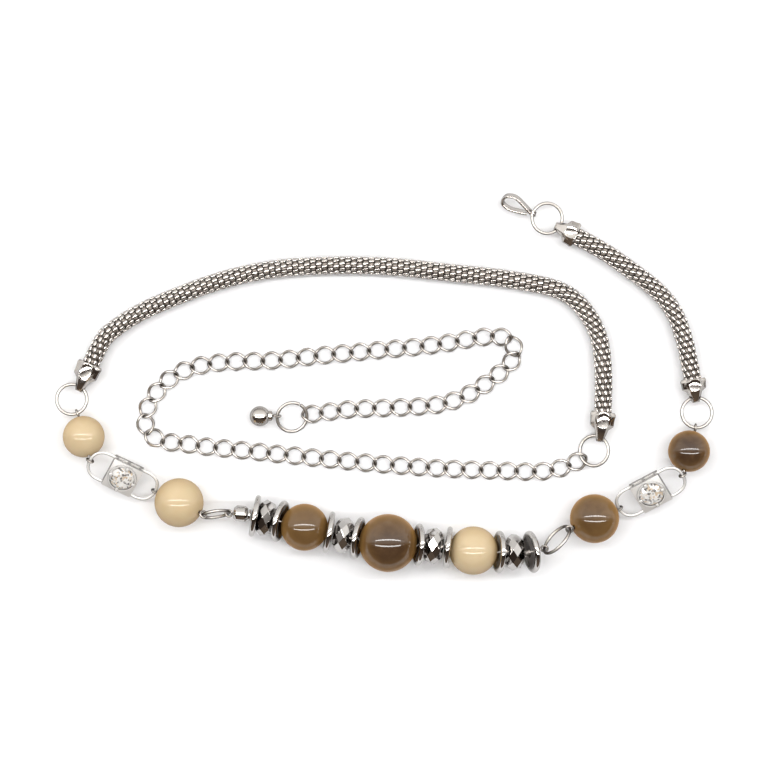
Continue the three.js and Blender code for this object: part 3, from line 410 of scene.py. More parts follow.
ball_eye = walk.stride(ring_chord("jump_ring_5"), BALL_DIAMETER / 2)

RING_ENDS = {
    "jump_ring_1": (hook_eye, cap_tip_1), "jump_ring_2": (cap_tip_2, pin_1_start),
    "string_ring_right": (pin_2_end, string_start), "string_ring_left": (string_end, pin_3_start),
    "jump_ring_3": (pin_4_end, cap_tip_3), "jump_ring_4": (cap_tip_4, chain_start),
    "jump_ring_5": (chain_end, ball_eye),
}
rings = {name: ring_between(name, *ends) for name, ends in RING_ENDS.items()}

# %% [markdown]
# The walk starts at the route's own zero, and the CAD part is centred over its box. One bead that both know,
# the big brown one, gives the shift between them.

# %% The shift into the frame
big_bead_low, big_bead_high = [Vector(corner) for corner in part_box("bead_big_brown")]
big_bead_index = [piece["name"] for piece in THREADED].index("bead_big_brown")
SHIFT = Matrix.Translation((big_bead_low + big_bead_high) / 2 - middles[big_bead_index])
print("Shift in mm:", [round(v * 1000, 2) for v in SHIFT.translation])

# %% [markdown]
# ## Shapes
# Round things are a profile that is spun about an axis, wires are curves with a round bevel, and cut things
# are convex hulls. Small helpers make each kind once, and a piece is put together from them.

# %% Helpers for shapes
SMOOTH_ANGLE = radians(32)
EDGE_SOFTNESS = 0.0001
BAND_EDGE = 0.00015


def turned(profile, steps=56):
    """A closed profile of (x, radius) points spun about the X axis."""
    shape = bmesh.new()
    corners = [shape.verts.new((x, 0, radius)) for x, radius in profile]
    edges = [shape.edges.new(pair) for pair in zip(corners, corners[1:] + corners[:1])]
    bmesh.ops.spin(shape, geom=corners + edges, cent=(0, 0, 0), axis=(1, 0, 0), angle=2 * pi,
                   steps=steps, use_merge=True)
    bmesh.ops.recalc_face_normals(shape, faces=shape.faces)
    return shape


def torus(radius, wire, steps=64, sides=12, slit=0.0):
    """Round wire bent to a ring about Z. A slit is an angle left open across the X axis."""
    shape = bmesh.new()
    section = Matrix.Translation((radius, 0, 0)) @ Matrix.Rotation(pi / 2, 4, "X")
    section = Matrix.Rotation(slit / 2, 4, "Z") @ section
    bmesh.ops.create_circle(shape, segments=sides, radius=wire / 2, matrix=section)
    bmesh.ops.spin(shape, geom=shape.verts[:] + shape.edges[:], cent=(0, 0, 0), axis=(0, 0, 1),
                   angle=2 * pi - slit, steps=steps, use_merge=not slit)
    bmesh.ops.holes_fill(shape, edges=[edge for edge in shape.edges if edge.is_boundary], sides=0)
    bmesh.ops.recalc_face_normals(shape, faces=shape.faces)
    return shape


def hull(points):
    shape = bmesh.new()
    for point in points:
        shape.verts.new(point)
    bmesh.ops.convex_hull(shape, input=shape.verts)
    bmesh.ops.dissolve_limit(shape, angle_limit=radians(1), verts=shape.verts, edges=shape.edges)
    return shape


def block(width, depth, height, middle=(0, 0, 0)):
    shape = bmesh.new()
    size = Matrix.Diagonal((width, depth, height, 1))
    bmesh.ops.create_cube(shape, size=1, matrix=Matrix.Translation(middle) @ size)
    return shape


def rounded(shape, width, segments=2):
    bmesh.ops.bevel(shape, geom=shape.edges[:], offset=width, segments=segments, profile=0.5,
                    affect="EDGES", clamp_overlap=True, material=-1)
    return shape


def add(whole, shape, place=Matrix.Identity(4)):
    """Adds a shape to a piece, at its own place there."""
    carrier = bpy.data.meshes.new("carrier")
    shape.transform(place)
    shape.to_mesh(carrier)
    whole.from_mesh(carrier)
    bpy.data.meshes.remove(carrier)
    shape.free()
    return whole


def temporary(data):
    helper = bpy.data.objects.new("helper", data)
    bpy.context.scene.collection.objects.link(helper)
    return helper


def evaluated_shape(helper):
    """What an object's curve or modifiers make, as a bmesh. The object goes."""
    bpy.context.view_layer.update()
    mesh = bpy.data.meshes.new_from_object(helper.evaluated_get(bpy.context.evaluated_depsgraph_get()))
    shape = bmesh.new()
    shape.from_mesh(mesh)
    bpy.data.meshes.remove(mesh)
    bpy.data.objects.remove(helper)
    return shape


def carved(whole, joined=(), cut=()):
    """Joins and cuts solid shapes, then rounds the sharp edges slightly."""
    base = temporary(bpy.data.meshes.new("base"))
    whole.to_mesh(base.data)
    whole.free()
    tools = []
    for operation, shapes in (("UNION", joined), ("DIFFERENCE", cut)):
        for shape in shapes:
            tool = temporary(bpy.data.meshes.new("tool"))
            shape.to_mesh(tool.data)
            shape.free()
            tools.append(tool)
            modifier = base.modifiers.new("carve", "BOOLEAN")
            modifier.operation = operation
            modifier.solver = "EXACT"
            modifier.object = tool
    soften = base.modifiers.new("soften", "BEVEL")
    soften.width = EDGE_SOFTNESS
    soften.segments = 2
    soften.limit_method = "ANGLE"
    result = evaluated_shape(base)
    for tool in tools:
        bpy.data.objects.remove(tool)
    return result


def wire(points, diameter, closed=False, ribbon=0.0, fineness=3):
    """Round wire along points. A ribbon is that much wider across its own plane."""
    curve = bpy.data.curves.new("wire", "CURVE")
    curve.dimensions = "2D" if ribbon else "3D"
    curve.fill_mode = "NONE" if ribbon else "FULL"
    curve.bevel_depth = diameter / 2
    curve.bevel_resolution = fineness
    curve.extrude = ribbon / 2
    curve.use_fill_caps = True
    spline = curve.splines.new("POLY")
    spline.points.add(len(points) - 1)
    spline.points.foreach_set("co", [v for p in points for v in (*p, 1)])
    spline.use_cyclic_u = closed
    return evaluated_shape(temporary(curve))


def repeated(shape, places):
    """One small shape at many places, as one joined mesh."""
    carrier = bpy.data.meshes.new("carrier")
    shape.to_mesh(carrier)
    spots = np.array([list(vertex.co) for vertex in carrier.vertices])
    faces = [tuple(face.vertices) for face in carrier.polygons]
    moved = [spots @ np.array(p.to_3x3()).T + np.array(p.translation) for p in places]
    ahead = [k * len(spots) for k in range(len(places))]
    bpy.data.meshes.remove(carrier)
    joined = bpy.data.meshes.new("joined")
    joined.from_pydata(np.concatenate(moved).tolist(), [],
                       [tuple(i + n for i in face) for n in ahead for face in faces])
    whole = bmesh.new()
    whole.from_mesh(joined)
    bpy.data.meshes.remove(joined)
    return whole


def piece(name, shape, finish, nodes=(), place=Matrix.Identity(4), angle=SMOOTH_ANGLE, slot=None):
    """Turns a shape into a finished piece of the belt that stands for CAD nodes."""
    shape.transform(SHIFT @ place)
    mesh = bpy.data.meshes.new(name)
    shape.to_mesh(mesh)
    shape.free()
    mesh.shade_smooth()
    mesh.set_sharp_from_angle(angle=angle)
    mesh.materials.append(FINISHES[finish])
    made = bpy.data.objects.new(name, mesh)
    bpy.context.scene.collection.objects.link(made)
    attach(made, "root")
    if nodes:
        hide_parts(*nodes)
    return made


# %% [markdown]
# ## Finishes
# All the metal is plated, so its look is mostly what it mirrors. A shared node group adds the small waves
# and the fine rubbing that real plating has, as a roughness and a normal. Pressed pieces are polished, wire
# is duller, and the frames of the crystal links are brushed nearly white.

# %% Shared node group for polish
def new_node(tree, kind, sockets=None, **settings):
    made = tree.nodes.new(kind)
    for name, value in settings.items():
        setattr(made, name, value)
    for name, value in (sockets or {}).items():
        made.inputs[name].default_value = value
    return made


def polish_group():
    group = bpy.data.node_groups.new("polish", "ShaderNodeTree")
    face = group.interface
    for name, value in (("Smoothest", 0.08), ("Roughest", 0.2), ("Waves", 0.1)):
        face.new_socket(name, in_out="INPUT", socket_type="NodeSocketFloat").default_value = value
    face.new_socket("Roughness", in_out="OUTPUT", socket_type="NodeSocketFloat")
    face.new_socket("Normal", in_out="OUTPUT", socket_type="NodeSocketVector")
    entry = new_node(group, "NodeGroupInput")
    leave = new_node(group, "NodeGroupOutput")
    place = new_node(group, "ShaderNodeTexCoord")
    rub = new_node(group, "ShaderNodeTexNoise", {"Scale": 420.0, "Detail": 4.0, "Roughness": 0.65})
    span = new_node(group, "ShaderNodeMapRange", {"From Min": 0.35, "From Max": 0.7})
    wave = new_node(group, "ShaderNodeTexNoise", {"Scale": 260.0, "Detail": 1.5})
    bump = new_node(group, "ShaderNodeBump", {"Distance": 0.0004})
    link = group.links.new
    link(place.outputs["Object"], rub.inputs["Vector"])
    link(place.outputs["Object"], wave.inputs["Vector"])
    link(rub.outputs["Fac"], span.inputs["Value"])
    link(entry.outputs["Smoothest"], span.inputs["To Min"])
    link(entry.outputs["Roughest"], span.inputs["To Max"])
    link(span.outputs["Result"], leave.inputs["Roughness"])
    link(wave.outputs["Fac"], bump.inputs["Height"])
    link(entry.outputs["Waves"], bump.inputs["Strength"])
    link(bump.outputs["Normal"], leave.inputs["Normal"])
    return group


POLISH = polish_group()
FINISHES = {}


def new_finish(name, sockets):
    """A material with one Principled shader, and its tree."""
    material = bpy.data.materials.new(name)
    material.use_nodes = True
    tree = material.node_tree
    shader = tree.nodes["Principled BSDF"]
    for socket, value in sockets.items():
        shader.inputs[socket].default_value = value
    FINISHES[name] = material
    return tree, shader


# Painted shade: the colour that hidden corners of the metal are darkened to.
CREVICE_SHADE_COLOUR = (0.035, 0.026, 0.02)


def metal(name, colour, smoothest, roughest, waves, edge=0.0, crevice_shade=0.0, reach=0.0008, metallic=1.0,
          full=0.65):
    """Plating with painted shade in its base colour: darker by edge towards its outline, from full on, and
    darker in hidden corners by the crevice shade, from an ambient occlusion mask.
    """
    tree, shader = new_finish(name, {"Metallic": metallic, "Base Color": (*colour, 1)})
    link = tree.links.new
    polish = new_node(tree, "ShaderNodeGroup", {}, node_tree=POLISH)
    for socket, value in (("Smoothest", smoothest), ("Roughest", roughest), ("Waves", waves)):
        polish.inputs[socket].default_value = value
    link(polish.outputs["Roughness"], shader.inputs["Roughness"])
    link(polish.outputs["Normal"], shader.inputs["Normal"])
    # Painted shade: a Layer Weight mask darkens the outline, an ambient occlusion mask the hidden corners.
    facing = new_node(tree, "ShaderNodeLayerWeight", {"Blend": 0.5})
    outline = new_node(tree, "ShaderNodeMapRange",
                       {"From Min": 0.12, "From Max": full, "To Max": edge})
    hidden = new_node(tree, "ShaderNodeAmbientOcclusion", {"Distance": reach}, samples=8)
    corners = new_node(tree, "ShaderNodeMapRange", {"To Min": crevice_shade, "To Max": 0.0})
    darkest = new_node(tree, "ShaderNodeMath", operation="MAXIMUM")
    mix = new_node(tree, "ShaderNodeMix", data_type="RGBA")
    mix.inputs["A"].default_value = (*colour, 1)
    mix.inputs["B"].default_value = (*CREVICE_SHADE_COLOUR, 1)
    link(facing.outputs["Facing"], outline.inputs["Value"])
    link(hidden.outputs["AO"], corners.inputs["Value"])
    link(outline.outputs["Result"], darkest.inputs[0])
    link(corners.outputs["Result"], darkest.inputs[1])
    link(darkest.outputs["Value"], mix.inputs["Factor"])
    link(mix.outputs["Result"], shader.inputs["Base Color"])


# Each metal's edge and crevice shade are painted shade in its base colour.
metal("silver", (0.76, 0.72, 0.68), 0.08, 0.18, 0.01, edge=0.8, crevice_shade=0.6, reach=0.0012)
metal("wire_silver", (0.74, 0.69, 0.64), 0.32, 0.38, 0.0, edge=0.95, crevice_shade=0.6, reach=0.001,
      full=0.42)
metal("satin_silver", (0.95, 0.93, 0.905), 0.36, 0.38, 0.0, edge=0.85, crevice_shade=0.9, reach=0.0007,
      metallic=0.45)
metal("woven_silver", (0.8, 0.755, 0.71), 0.14, 0.26, 0.05, edge=0.6, crevice_shade=0.85, reach=0.0012)
metal("mirror_silver", (0.72, 0.7, 0.68), 0.02, 0.07, 0.03, edge=0.5, crevice_shade=0.75, reach=0.0028)
# Painted shade: the wire that goes under, as a darker copy of the woven finish.
metal("woven_under_painted_shade", (0.42, 0.37, 0.33), 0.3, 0.45, 0.1, edge=0.5, crevice_shade=0.9, reach=0.001)
# Painted shade: a near-black core, so the gaps between the bricks look shaded.
metal("woven_core_painted_shade", (0.1, 0.085, 0.075), 0.4, 0.6, 0.1)

# %% [markdown]
# The beads are moulded plastic. Light goes a little way in, so the colour is deepest in the middle and
# glows at the rim. That glow is painted light: a rim colour mixed in by a Layer Weight mask, lighter than the
# middle on the brown beads and darker, as painted shade, on the ivory ones. A slow warped noise gives the
# cloudy swirls, a broader one gives some beads an amber side, and the coat is the hard glossy skin. The skin
# is thinner towards the rim, so that the painted glow shows there.

# %% Bead finishes
def ramp_value(tree, source, low, high, at_low, at_high):
    """A socket's value taken from one range to another."""
    span = new_node(tree, "ShaderNodeMapRange",
                    {"From Min": low, "From Max": high, "To Min": at_low, "To Max": at_high})
    tree.links.new(source, span.inputs["Value"])
    return span.outputs["Result"]


def mixed(tree, factor, first, second):
    """Mixes a second colour over a first one, which may come from another node."""
    mix = new_node(tree, "ShaderNodeMix", data_type="RGBA")
    if isinstance(first, tuple):
        mix.inputs["A"].default_value = (*first, 1)
    else:
        tree.links.new(first, mix.inputs["A"])
    mix.inputs["B"].default_value = (*second, 1)
    tree.links.new(factor, mix.inputs["Factor"])
    return mix.outputs["Result"]


def bead_finish(name, core, swirl, side, rim, swirl_amount, side_amount, painted_rim_power, skin_at_rim, sockets):
    tree, shader = new_finish(name, sockets)
    link = tree.links.new
    place = new_node(tree, "ShaderNodeTexCoord").outputs["Object"]
    cloud = new_node(tree, "ShaderNodeTexNoise",
                     {"Scale": 120.0, "Detail": 3.0, "Roughness": 0.5, "Distortion": 1.4})
    broad = new_node(tree, "ShaderNodeTexNoise", {"Scale": 34.0, "Detail": 0.5, "W": 0.6},
                     noise_dimensions="4D")
    facing = new_node(tree, "ShaderNodeLayerWeight", {"Blend": 0.5}).outputs["Facing"]
    painted_rim_mask = new_node(tree, "ShaderNodeMath", operation="POWER")
    painted_rim_mask.inputs[1].default_value = painted_rim_power
    link(place, cloud.inputs["Vector"])
    link(place, broad.inputs["Vector"])
    link(facing, painted_rim_mask.inputs[0])
    swirls = ramp_value(tree, cloud.outputs["Fac"], 0.4, 0.68, 0, swirl_amount)
    sides = ramp_value(tree, broad.outputs["Fac"], 0.46, 0.6, 0, side_amount)
    colour = mixed(tree, swirls, core, swirl)
    colour = mixed(tree, sides, colour, side)
    # Painted light and shade: the rim colour over the outline, by the Layer Weight mask.
    colour = mixed(tree, painted_rim_mask.outputs["Value"], colour, rim)
    link(colour, shader.inputs["Base Color"])
    link(ramp_value(tree, facing, 0.25, 0.55, 1.0, skin_at_rim), shader.inputs["Coat Weight"])


# The rim colour is painted shade on the ivory beads and painted glow on the brown ones.
bead_finish(
    "ivory_bead", core=(0.64, 0.51, 0.32), swirl=(0.69, 0.56, 0.37), side=(0.58, 0.43, 0.24),
    rim=(0.4, 0.25, 0.09), swirl_amount=0.5, side_amount=0.4, painted_rim_power=1.6, skin_at_rim=0.3,
    sockets={"Roughness": 0.5, "Coat Roughness": 0.03, "Specular IOR Level": 0.05,
             "Subsurface Weight": 0.05, "Subsurface Scale": 0.002},
)
bead_finish(
    "smoky_brown_bead", core=(0.055, 0.028, 0.014), swirl=(0.1, 0.055, 0.025), side=(0.2, 0.11, 0.035),
    rim=(0.5, 0.27, 0.075), swirl_amount=0.8, side_amount=0.5, painted_rim_power=1.9, skin_at_rim=0.05,
    sockets={"Roughness": 0.4, "Coat Roughness": 0.02, "Coat IOR": 1.65, "Specular IOR Level": 0.05},
)

# %% [markdown]
# The stones are cut glass with a foil behind. What shows is white light from many small facets, with a few
# dark and amber sparks between them. Those sparks are painted reflections: small cells of a Voronoi pattern
# colour the glass.

# %% Crystal finish
def crystal_finish():
    tree, shader = new_finish("crystal", {"Roughness": 0.0, "IOR": 1.8, "Transmission Weight": 0.2,
                                          "Coat Weight": 1.0, "Coat Roughness": 0.0})
    place = new_node(tree, "ShaderNodeTexCoord").outputs["Object"]
    facets = new_node(tree, "ShaderNodeTexVoronoi", {"Scale": 1300.0})
    tree.links.new(place, facets.inputs["Vector"])
    # Painted reflections: amber and dark sparks in the glass's colour.
    painted_amber_sparks = ramp_value(tree, facets.outputs["Color"], 0.26, 0.36, 0.7, 0)
    painted_dark_sparks = ramp_value(tree, facets.outputs["Color"], 0.68, 0.76, 0, 0.9)
    colour = mixed(tree, painted_amber_sparks, (1.0, 0.99, 0.97), (0.72, 0.5, 0.25))
    tree.links.new(mixed(tree, painted_dark_sparks, colour, (0.1, 0.09, 0.085)), shader.inputs["Base Color"])


crystal_finish()

# %% [markdown]
# ## Rings, hook and eyes
# The jump rings are round wire. The fifth shows the slit where it was bent open, at its upper right.

# %% Rings
SLIT_RING = "jump_ring_5"
RING_SLIT = radians(5)
SLIT_WAY = Vector((0.5, 0.9, 0))
for name, ring in rings.items():
    slit = RING_SLIT if name == SLIT_RING else 0
    loop = torus((ring["diameter"] - RING_WIRE) / 2, RING_WIRE, steps=72, sides=14, slit=slit)
    local_way = ring["place"].to_3x3().inverted() @ SLIT_WAY
    slit_turn = Matrix.Rotation(atan2(local_way.y, local_way.x), 4, "Z")
    piece(f"{name}_wire", loop, "wire_silver", [name], ring["place"] @ slit_turn, slot="silver")
print("rings:", len(rings))


def eye(whole, centre, axis):
    return add(whole, torus(EYE_RADIUS, EYE_WIRE, steps=32, sides=10), frame_on_axis(centre, axis))


def eye_foot(centre, axis, inward):
    """Where a straight wire that comes in meets the eye's own wire."""
    flat = (inward - axis * inward.dot(axis)).normalized()
    return along(centre, flat, EYE_RADIUS)


def band_round(whole, centre, way, bore, outside, width):
    """A short band of sheet metal closed round a wire that runs that way."""
    band = turned([(-width / 2, bore / 2), (-width / 2, outside / 2),
                   (width / 2, outside / 2), (width / 2, bore / 2)], 32)
    rounded(band, BAND_EDGE, 1)
    return add(whole, band, frame_on_axis(centre, way) @ Matrix.Rotation(pi / 2, 4, "Y"))


# %% [markdown]
# The hook is one band bent back on itself, so it is a ribbon along a curve in its own plane. Its eye is a
# narrower band closed round the first ring.

# %% Hook
HOOK_EYE_BORE = 0.0017
HOOK_EYE_OUTSIDE = 0.0027
HOOK_EYE_WIDTH = 0.002
HOOK_UPPER_ARM = [(0.68, 0.5), (0.34, 1), (0.1, 0.62)]
HOOK_LOWER_ARM = [(0.1, -0.62), (0.34, -0.86), (0.6, -0.62)]
HOOK_OUTLINE_STEP = 0.0004


def hook_outline():
    """From the eye along the upper arm, round the nose and back to the mouth."""
    half = HOOK_LOOP_HALF_WIDTH - HOOK_BAND_THICKNESS / 2
    upper, lower = [[(HOOK_LENGTH * x, half * y) for x, y in arm]
                    for arm in (HOOK_UPPER_ARM, HOOK_LOWER_ARM)]
    start = (HOOK_LENGTH - HOOK_EYE_OUTSIDE * 0.45, 0.0002)
    nose = (HOOK_BAND_THICKNESS / 2, 0)
    end = (HOOK_LENGTH - HOOK_MOUTH * 0.65, -half * 0.3)
    outline = [Vector((x, y, 0)) for x, y in (start, *upper, nose, *lower, end)]
    return evenly(curve_through(outline, 12), HOOK_OUTLINE_STEP)


hook_place = frame_at(hook_nose, hook_eye - hook_nose, UP, HOOK_ROLL)
hook = wire(hook_outline(), HOOK_BAND_THICKNESS, ribbon=HOOK_BAND_WIDTH - HOOK_BAND_THICKNESS)
hook.transform(hook_place)
band_round(hook, hook_eye, rings["jump_ring_1"]["ways"][0], HOOK_EYE_BORE, HOOK_EYE_OUTSIDE,
           HOOK_EYE_WIDTH)
piece("hook_band", hook, "silver", ["hook_clasp"])

# %% [markdown]
# ## End caps
# Each cap is stamped sheet metal: four petals that meet in a folded tip and close over the end of the tube.
# One hull makes the top and bottom petal, a wider and flatter one the two at the sides, which spread later
# from the tip. Slanted cuts at the mouth give the petals their points, and each has a shallow dish pressed
# into its broad end.

# %% End caps
CAP_FOLD_WIDTH = 0.0032
TOP_PETALS = [(0.5, 0.6, 0.97), (0.84, 0.62, 1.0), (1.0, 0.52, 0.92)]
SIDE_PETALS = [(0.5, 0.94, 0.62), (0.84, 0.97, 0.66), (1.0, 0.84, 0.6)]
SIDE_START = (0.2, 1.1, 1.2)
CORNER_SHARE = 0.6
MOUTH_CUT_SHARE = 0.92
MOUTH_CUT_ASIDE = 0.4
MOUTH_CUT_SLANT = 0.5
SIDE_DISH_SHARE = 0.95
FOLD_STATIONS = [(-0.95, 0.9, 0.5), (-0.5, 1.0, 0.9), (0.7, 1.05, 0.98)]
DISH_MIDDLE = 0.56
DISH_LENGTH_SHARE = 0.44
DISH_HALF_WIDTH = 0.003
DISH_DEPTH = 0.0008


def cap_section(x, width, height):
    w, h = width / 2, height / 2
    sides = [(w, h * CORNER_SHARE), (w * CORNER_SHARE, h)]
    return [(x, sy * y, sz * z) for y, z in sides for sy in (-1, 1) for sz in (-1, 1)]


def pressed_dishes(length):
    """A flat round stamp at the broad end of each of the four petals."""
    stamps = []
    for turn, reach in ((0, CAP_HEIGHT / 2), (90, CAP_SHOULDER_WIDTH * SIDE_DISH_SHARE / 2)):
        for side in (0, 180):
            stamp = bmesh.new()
            bmesh.ops.create_uvsphere(stamp, u_segments=28, v_segments=14, radius=1)
            bmesh.ops.scale(stamp, vec=(length * DISH_LENGTH_SHARE, DISH_HALF_WIDTH, DISH_DEPTH),
                            verts=stamp.verts)
            stamp.transform(Matrix.Rotation(radians(turn + side), 4, "X")
                            @ Matrix.Translation((length * DISH_MIDDLE, 0, reach)))
            stamps.append(stamp)
    return stamps


def cap(name, node, tip, mouth, way):
    """A cap from its tip to its mouth. The ring's wire runs that way through the folded tip."""
    length = (mouth - tip).length
    tip_radius = CAP_TIP_BORE / 2 + CAP_TIP_WALL
    top = [corner for x, wide, high in FOLD_STATIONS
           for corner in cap_section(tip_radius * x, CAP_FOLD_WIDTH * wide, 2 * tip_radius * high)]
    share, wide, high = SIDE_START
    sides = cap_section(length * share, CAP_FOLD_WIDTH * wide, tip_radius * high)
    for corners, stations in ((top, TOP_PETALS), (sides, SIDE_PETALS)):
        for share, wide, high in stations:
            corners += cap_section(length * share, CAP_SHOULDER_WIDTH * wide, CAP_HEIGHT * high)
    body, sides = hull(top), hull(sides)
    for side in (-1, 1):
        for height in (-1, 1):
            cut = Vector((length * MOUTH_CUT_SHARE, side * CAP_MOUTH_WIDTH * MOUTH_CUT_ASIDE,
                          height * CAP_HEIGHT * MOUTH_CUT_ASIDE))
            slant = (1.0, side * MOUTH_CUT_SLANT, height * MOUTH_CUT_SLANT)
            for part in (body, sides):
                bmesh.ops.bisect_plane(part, geom=part.verts[:] + part.edges[:] + part.faces[:],
                                       plane_co=cut, plane_no=slant, clear_outer=True)
                open_edges = [edge for edge in part.edges if edge.is_boundary]
                bmesh.ops.holes_fill(part, edges=open_edges, sides=0)
    place = frame_at(tip, mouth - tip)
    bore = bmesh.new()
    bmesh.ops.create_cone(bore, segments=24, radius1=CAP_TIP_BORE / 2, radius2=CAP_TIP_BORE / 2,
                          depth=3 * CAP_FOLD_WIDTH, cap_ends=True,
                          matrix=frame_on_axis(Vector(), place.to_3x3().inverted() @ way))
    whole = carved(body, joined=[sides], cut=[*pressed_dishes(length), bore])
    whole.transform(place)
    return piece(name, whole, "silver", [node])


cap("cap_1_petals", "end_cap_1", cap_tip_1, tube_short[0], rings["jump_ring_1"]["ways"][1])
cap("cap_2_petals", "end_cap_2", cap_tip_2, tube_short[-1], rings["jump_ring_2"]["ways"][0])
cap("cap_3_petals", "end_cap_3", cap_tip_3, tube_long[0], rings["jump_ring_3"]["ways"][1])
cap("cap_4_petals", "end_cap_4", cap_tip_4, tube_long[-1], rings["jump_ring_4"]["ways"][0])

# %% [markdown]
# ## Woven tubes
# The tubes are woven of flat wire. What shows is a brickwork of short bright bricks in staggered rows, and
# between two bricks of a row the wire that goes under. So one brick and one lower, shorter one are made and
# set in rows round a dark core. The lower bricks have a darker copy of the woven finish and the core is near
# black: both are painted shade for the hollows of the weave.

# %% Woven tubes
BRICK = (0.0024, 0.00128, 0.001)
UNDER_BRICK = (0.0019, 0.00118, 0.0007)
UNDER_DROP = 0.0005
BRICK_EDGE = 0.00026
BRICK_PITCH = 0.0048
PATH_POINTS_A_PITCH = 8
BRICK_ROWS = 16
BRICK_SLANT = radians(12)
CORE_SHARE = 0.76
WEAVE_DIAMETER = 0.0073
WEAVE_LIFT = 0.00012
WEAVE_SEAT = TUBE_SEAT * 0.8
RISE_POINTS = 3


def brick(size):
    return rounded(block(*size), BRICK_EDGE, 1)


def tube_path(soft, tip_in, tip_out):
    """The tube's middle line: lower on the table along its length than in its caps."""
    inner = soft[2:-2]
    guide = [along(soft[0], towards(soft[0], tip_in), WEAVE_SEAT)]
    for i, point in enumerate(inner):
        near = min(1, max(0, 1 - min(i, len(inner) - 1 - i) / RISE_POINTS))
        rise = near * near * (3 - 2 * near)
        low, high = WEAVE_DIAMETER / 2 + WEAVE_LIFT, CAP_HEIGHT / 2
        guide.append(Vector((point.x, point.y, low + (high - low) * rise)))
    guide.append(along(soft[-1], towards(soft[-1], tip_out), WEAVE_SEAT))
    return evenly(curve_through(guide, 12), BRICK_PITCH / PATH_POINTS_A_PITCH)


def woven_tube(name, node, soft, tip_in, tip_out):
    path = tube_path(soft, tip_in, tip_out)
    # The core is painted shade for the inside of the weave.
    core = wire(path, TUBE_DIAMETER * CORE_SHARE, fineness=6)
    piece(f"{name}_core", core, "woven_core_painted_shade", slot="woven_silver")
    half_pitch = PATH_POINTS_A_PITCH // 2
    over, under = [], []
    for row in range(BRICK_ROWS):
        angle = 2 * pi * (row + 0.5) / BRICK_ROWS
        for i in range(1, len(path) - 1, half_pitch):
            above = (i // half_pitch + row) % 2 == 0
            tangent = towards(path[i - 1], path[i + 1])
            side = UP.cross(tangent).normalized()
            out = side * cos(angle) + tangent.cross(side) * sin(angle)
            reach = (WEAVE_DIAMETER - BRICK[2]) / 2 - (0 if above else UNDER_DROP)
            seat = frame_at(along(path[i], out, reach), tangent, out)
            (over if above else under).append(seat @ Matrix.Rotation(BRICK_SLANT, 4, "Z"))
    piece(f"{name}_weave", repeated(brick(BRICK), over), "woven_silver", [node], angle=radians(60))
    piece(f"{name}_under", repeated(brick(UNDER_BRICK), under), "woven_under_painted_shade", angle=radians(60),
          slot="woven_silver")
    print(name, "bricks:", len(over), len(under))


woven_tube("tube_short", "mesh_tube_short", tube_short, cap_tip_1, cap_tip_2)
woven_tube("tube_long", "mesh_tube_long", tube_long, cap_tip_3, cap_tip_4)

# %% [markdown]
# ## Beads and pins
# A bead is a sphere with a bore, spun from a half circle. Its pin is wire with a bent eye at each end.

# %% Beads and pins
def bead_shape(diameter):
    radius = diameter / 2
    pole = asin(WIRE_BORE / 2 / radius)
    angles = np.linspace(pole, pi - pole, 33)
    return turned([(-radius * cos(a), radius * sin(a)) for a in angles], 64)


def pinned_bead(number, bead, start, end, start_way, end_way, diameter, finish):
    way = towards(start, end)
    piece(f"{bead}_round", bead_shape(diameter), finish, [bead], frame_at((start + end) / 2, way))
    run = [eye_foot(start, start_way, way), along(start, way, EYE_TO_BEAD),
           along(end, way, -EYE_TO_BEAD), eye_foot(end, end_way, -way)]
    pin = wire(run, EYE_WIRE)
    eye(pin, start, start_way)
    eye(pin, end, end_way)
    piece(f"pin_{number}_wire", pin, "wire_silver", [f"eye_pin_{number}"], slot="silver")


link_way_1 = link_across(pin_1_end, pin_2_start)
link_way_2 = link_across(pin_3_end, pin_4_start)
pinned_bead(1, "bead_small_brown", pin_1_start, pin_1_end, rings["jump_ring_2"]["ways"][1], link_way_1,
            SMALL_BEAD, "smoky_brown_bead")
pinned_bead(2, "bead_medium_brown", pin_2_start, pin_2_end, link_way_1,
            rings["string_ring_right"]["ways"][0], MEDIUM_BEAD, "smoky_brown_bead")
pinned_bead(3, "bead_medium_ivory", pin_3_start, pin_3_end, rings["string_ring_left"]["ways"][1],
            link_way_2, MEDIUM_BEAD, "ivory_bead")
pinned_bead(4, "bead_small_ivory", pin_4_start, pin_4_end, link_way_2,
            rings["jump_ring_3"]["ways"][0], SMALL_BEAD, "ivory_bead")

# %% [markdown]
# ## Crystal links
# A link is a square box of sheet metal with two slots in each long side, a round bezel on top, four prongs
# over the stone and a loop of wire at each end. Boolean cuts make the box, as a punch would.

# %% Crystal links
def on_z(profile, steps=40):
    """A closed (radius, z) profile turned about Z."""
    shape = turned([(z, r) for r, z in profile], steps)
    shape.transform(Matrix.Rotation(-pi / 2, 4, "Y"))
    return shape


LOOP_TURN = radians(116)
LOOP_SQUARENESS = 0.85
LOOP_WIDTH = 0.0124
LOOP_STEPS = 33
LINK_PLATE = LINK_WALL * 0.8
PRONG_EDGE = 0.00028
POST_EDGE = 0.00012
STONE_LEVEL = LINK_HEIGHT / 2 - 0.0001
SEAT = STONE_DIAMETER / 2 + GAP


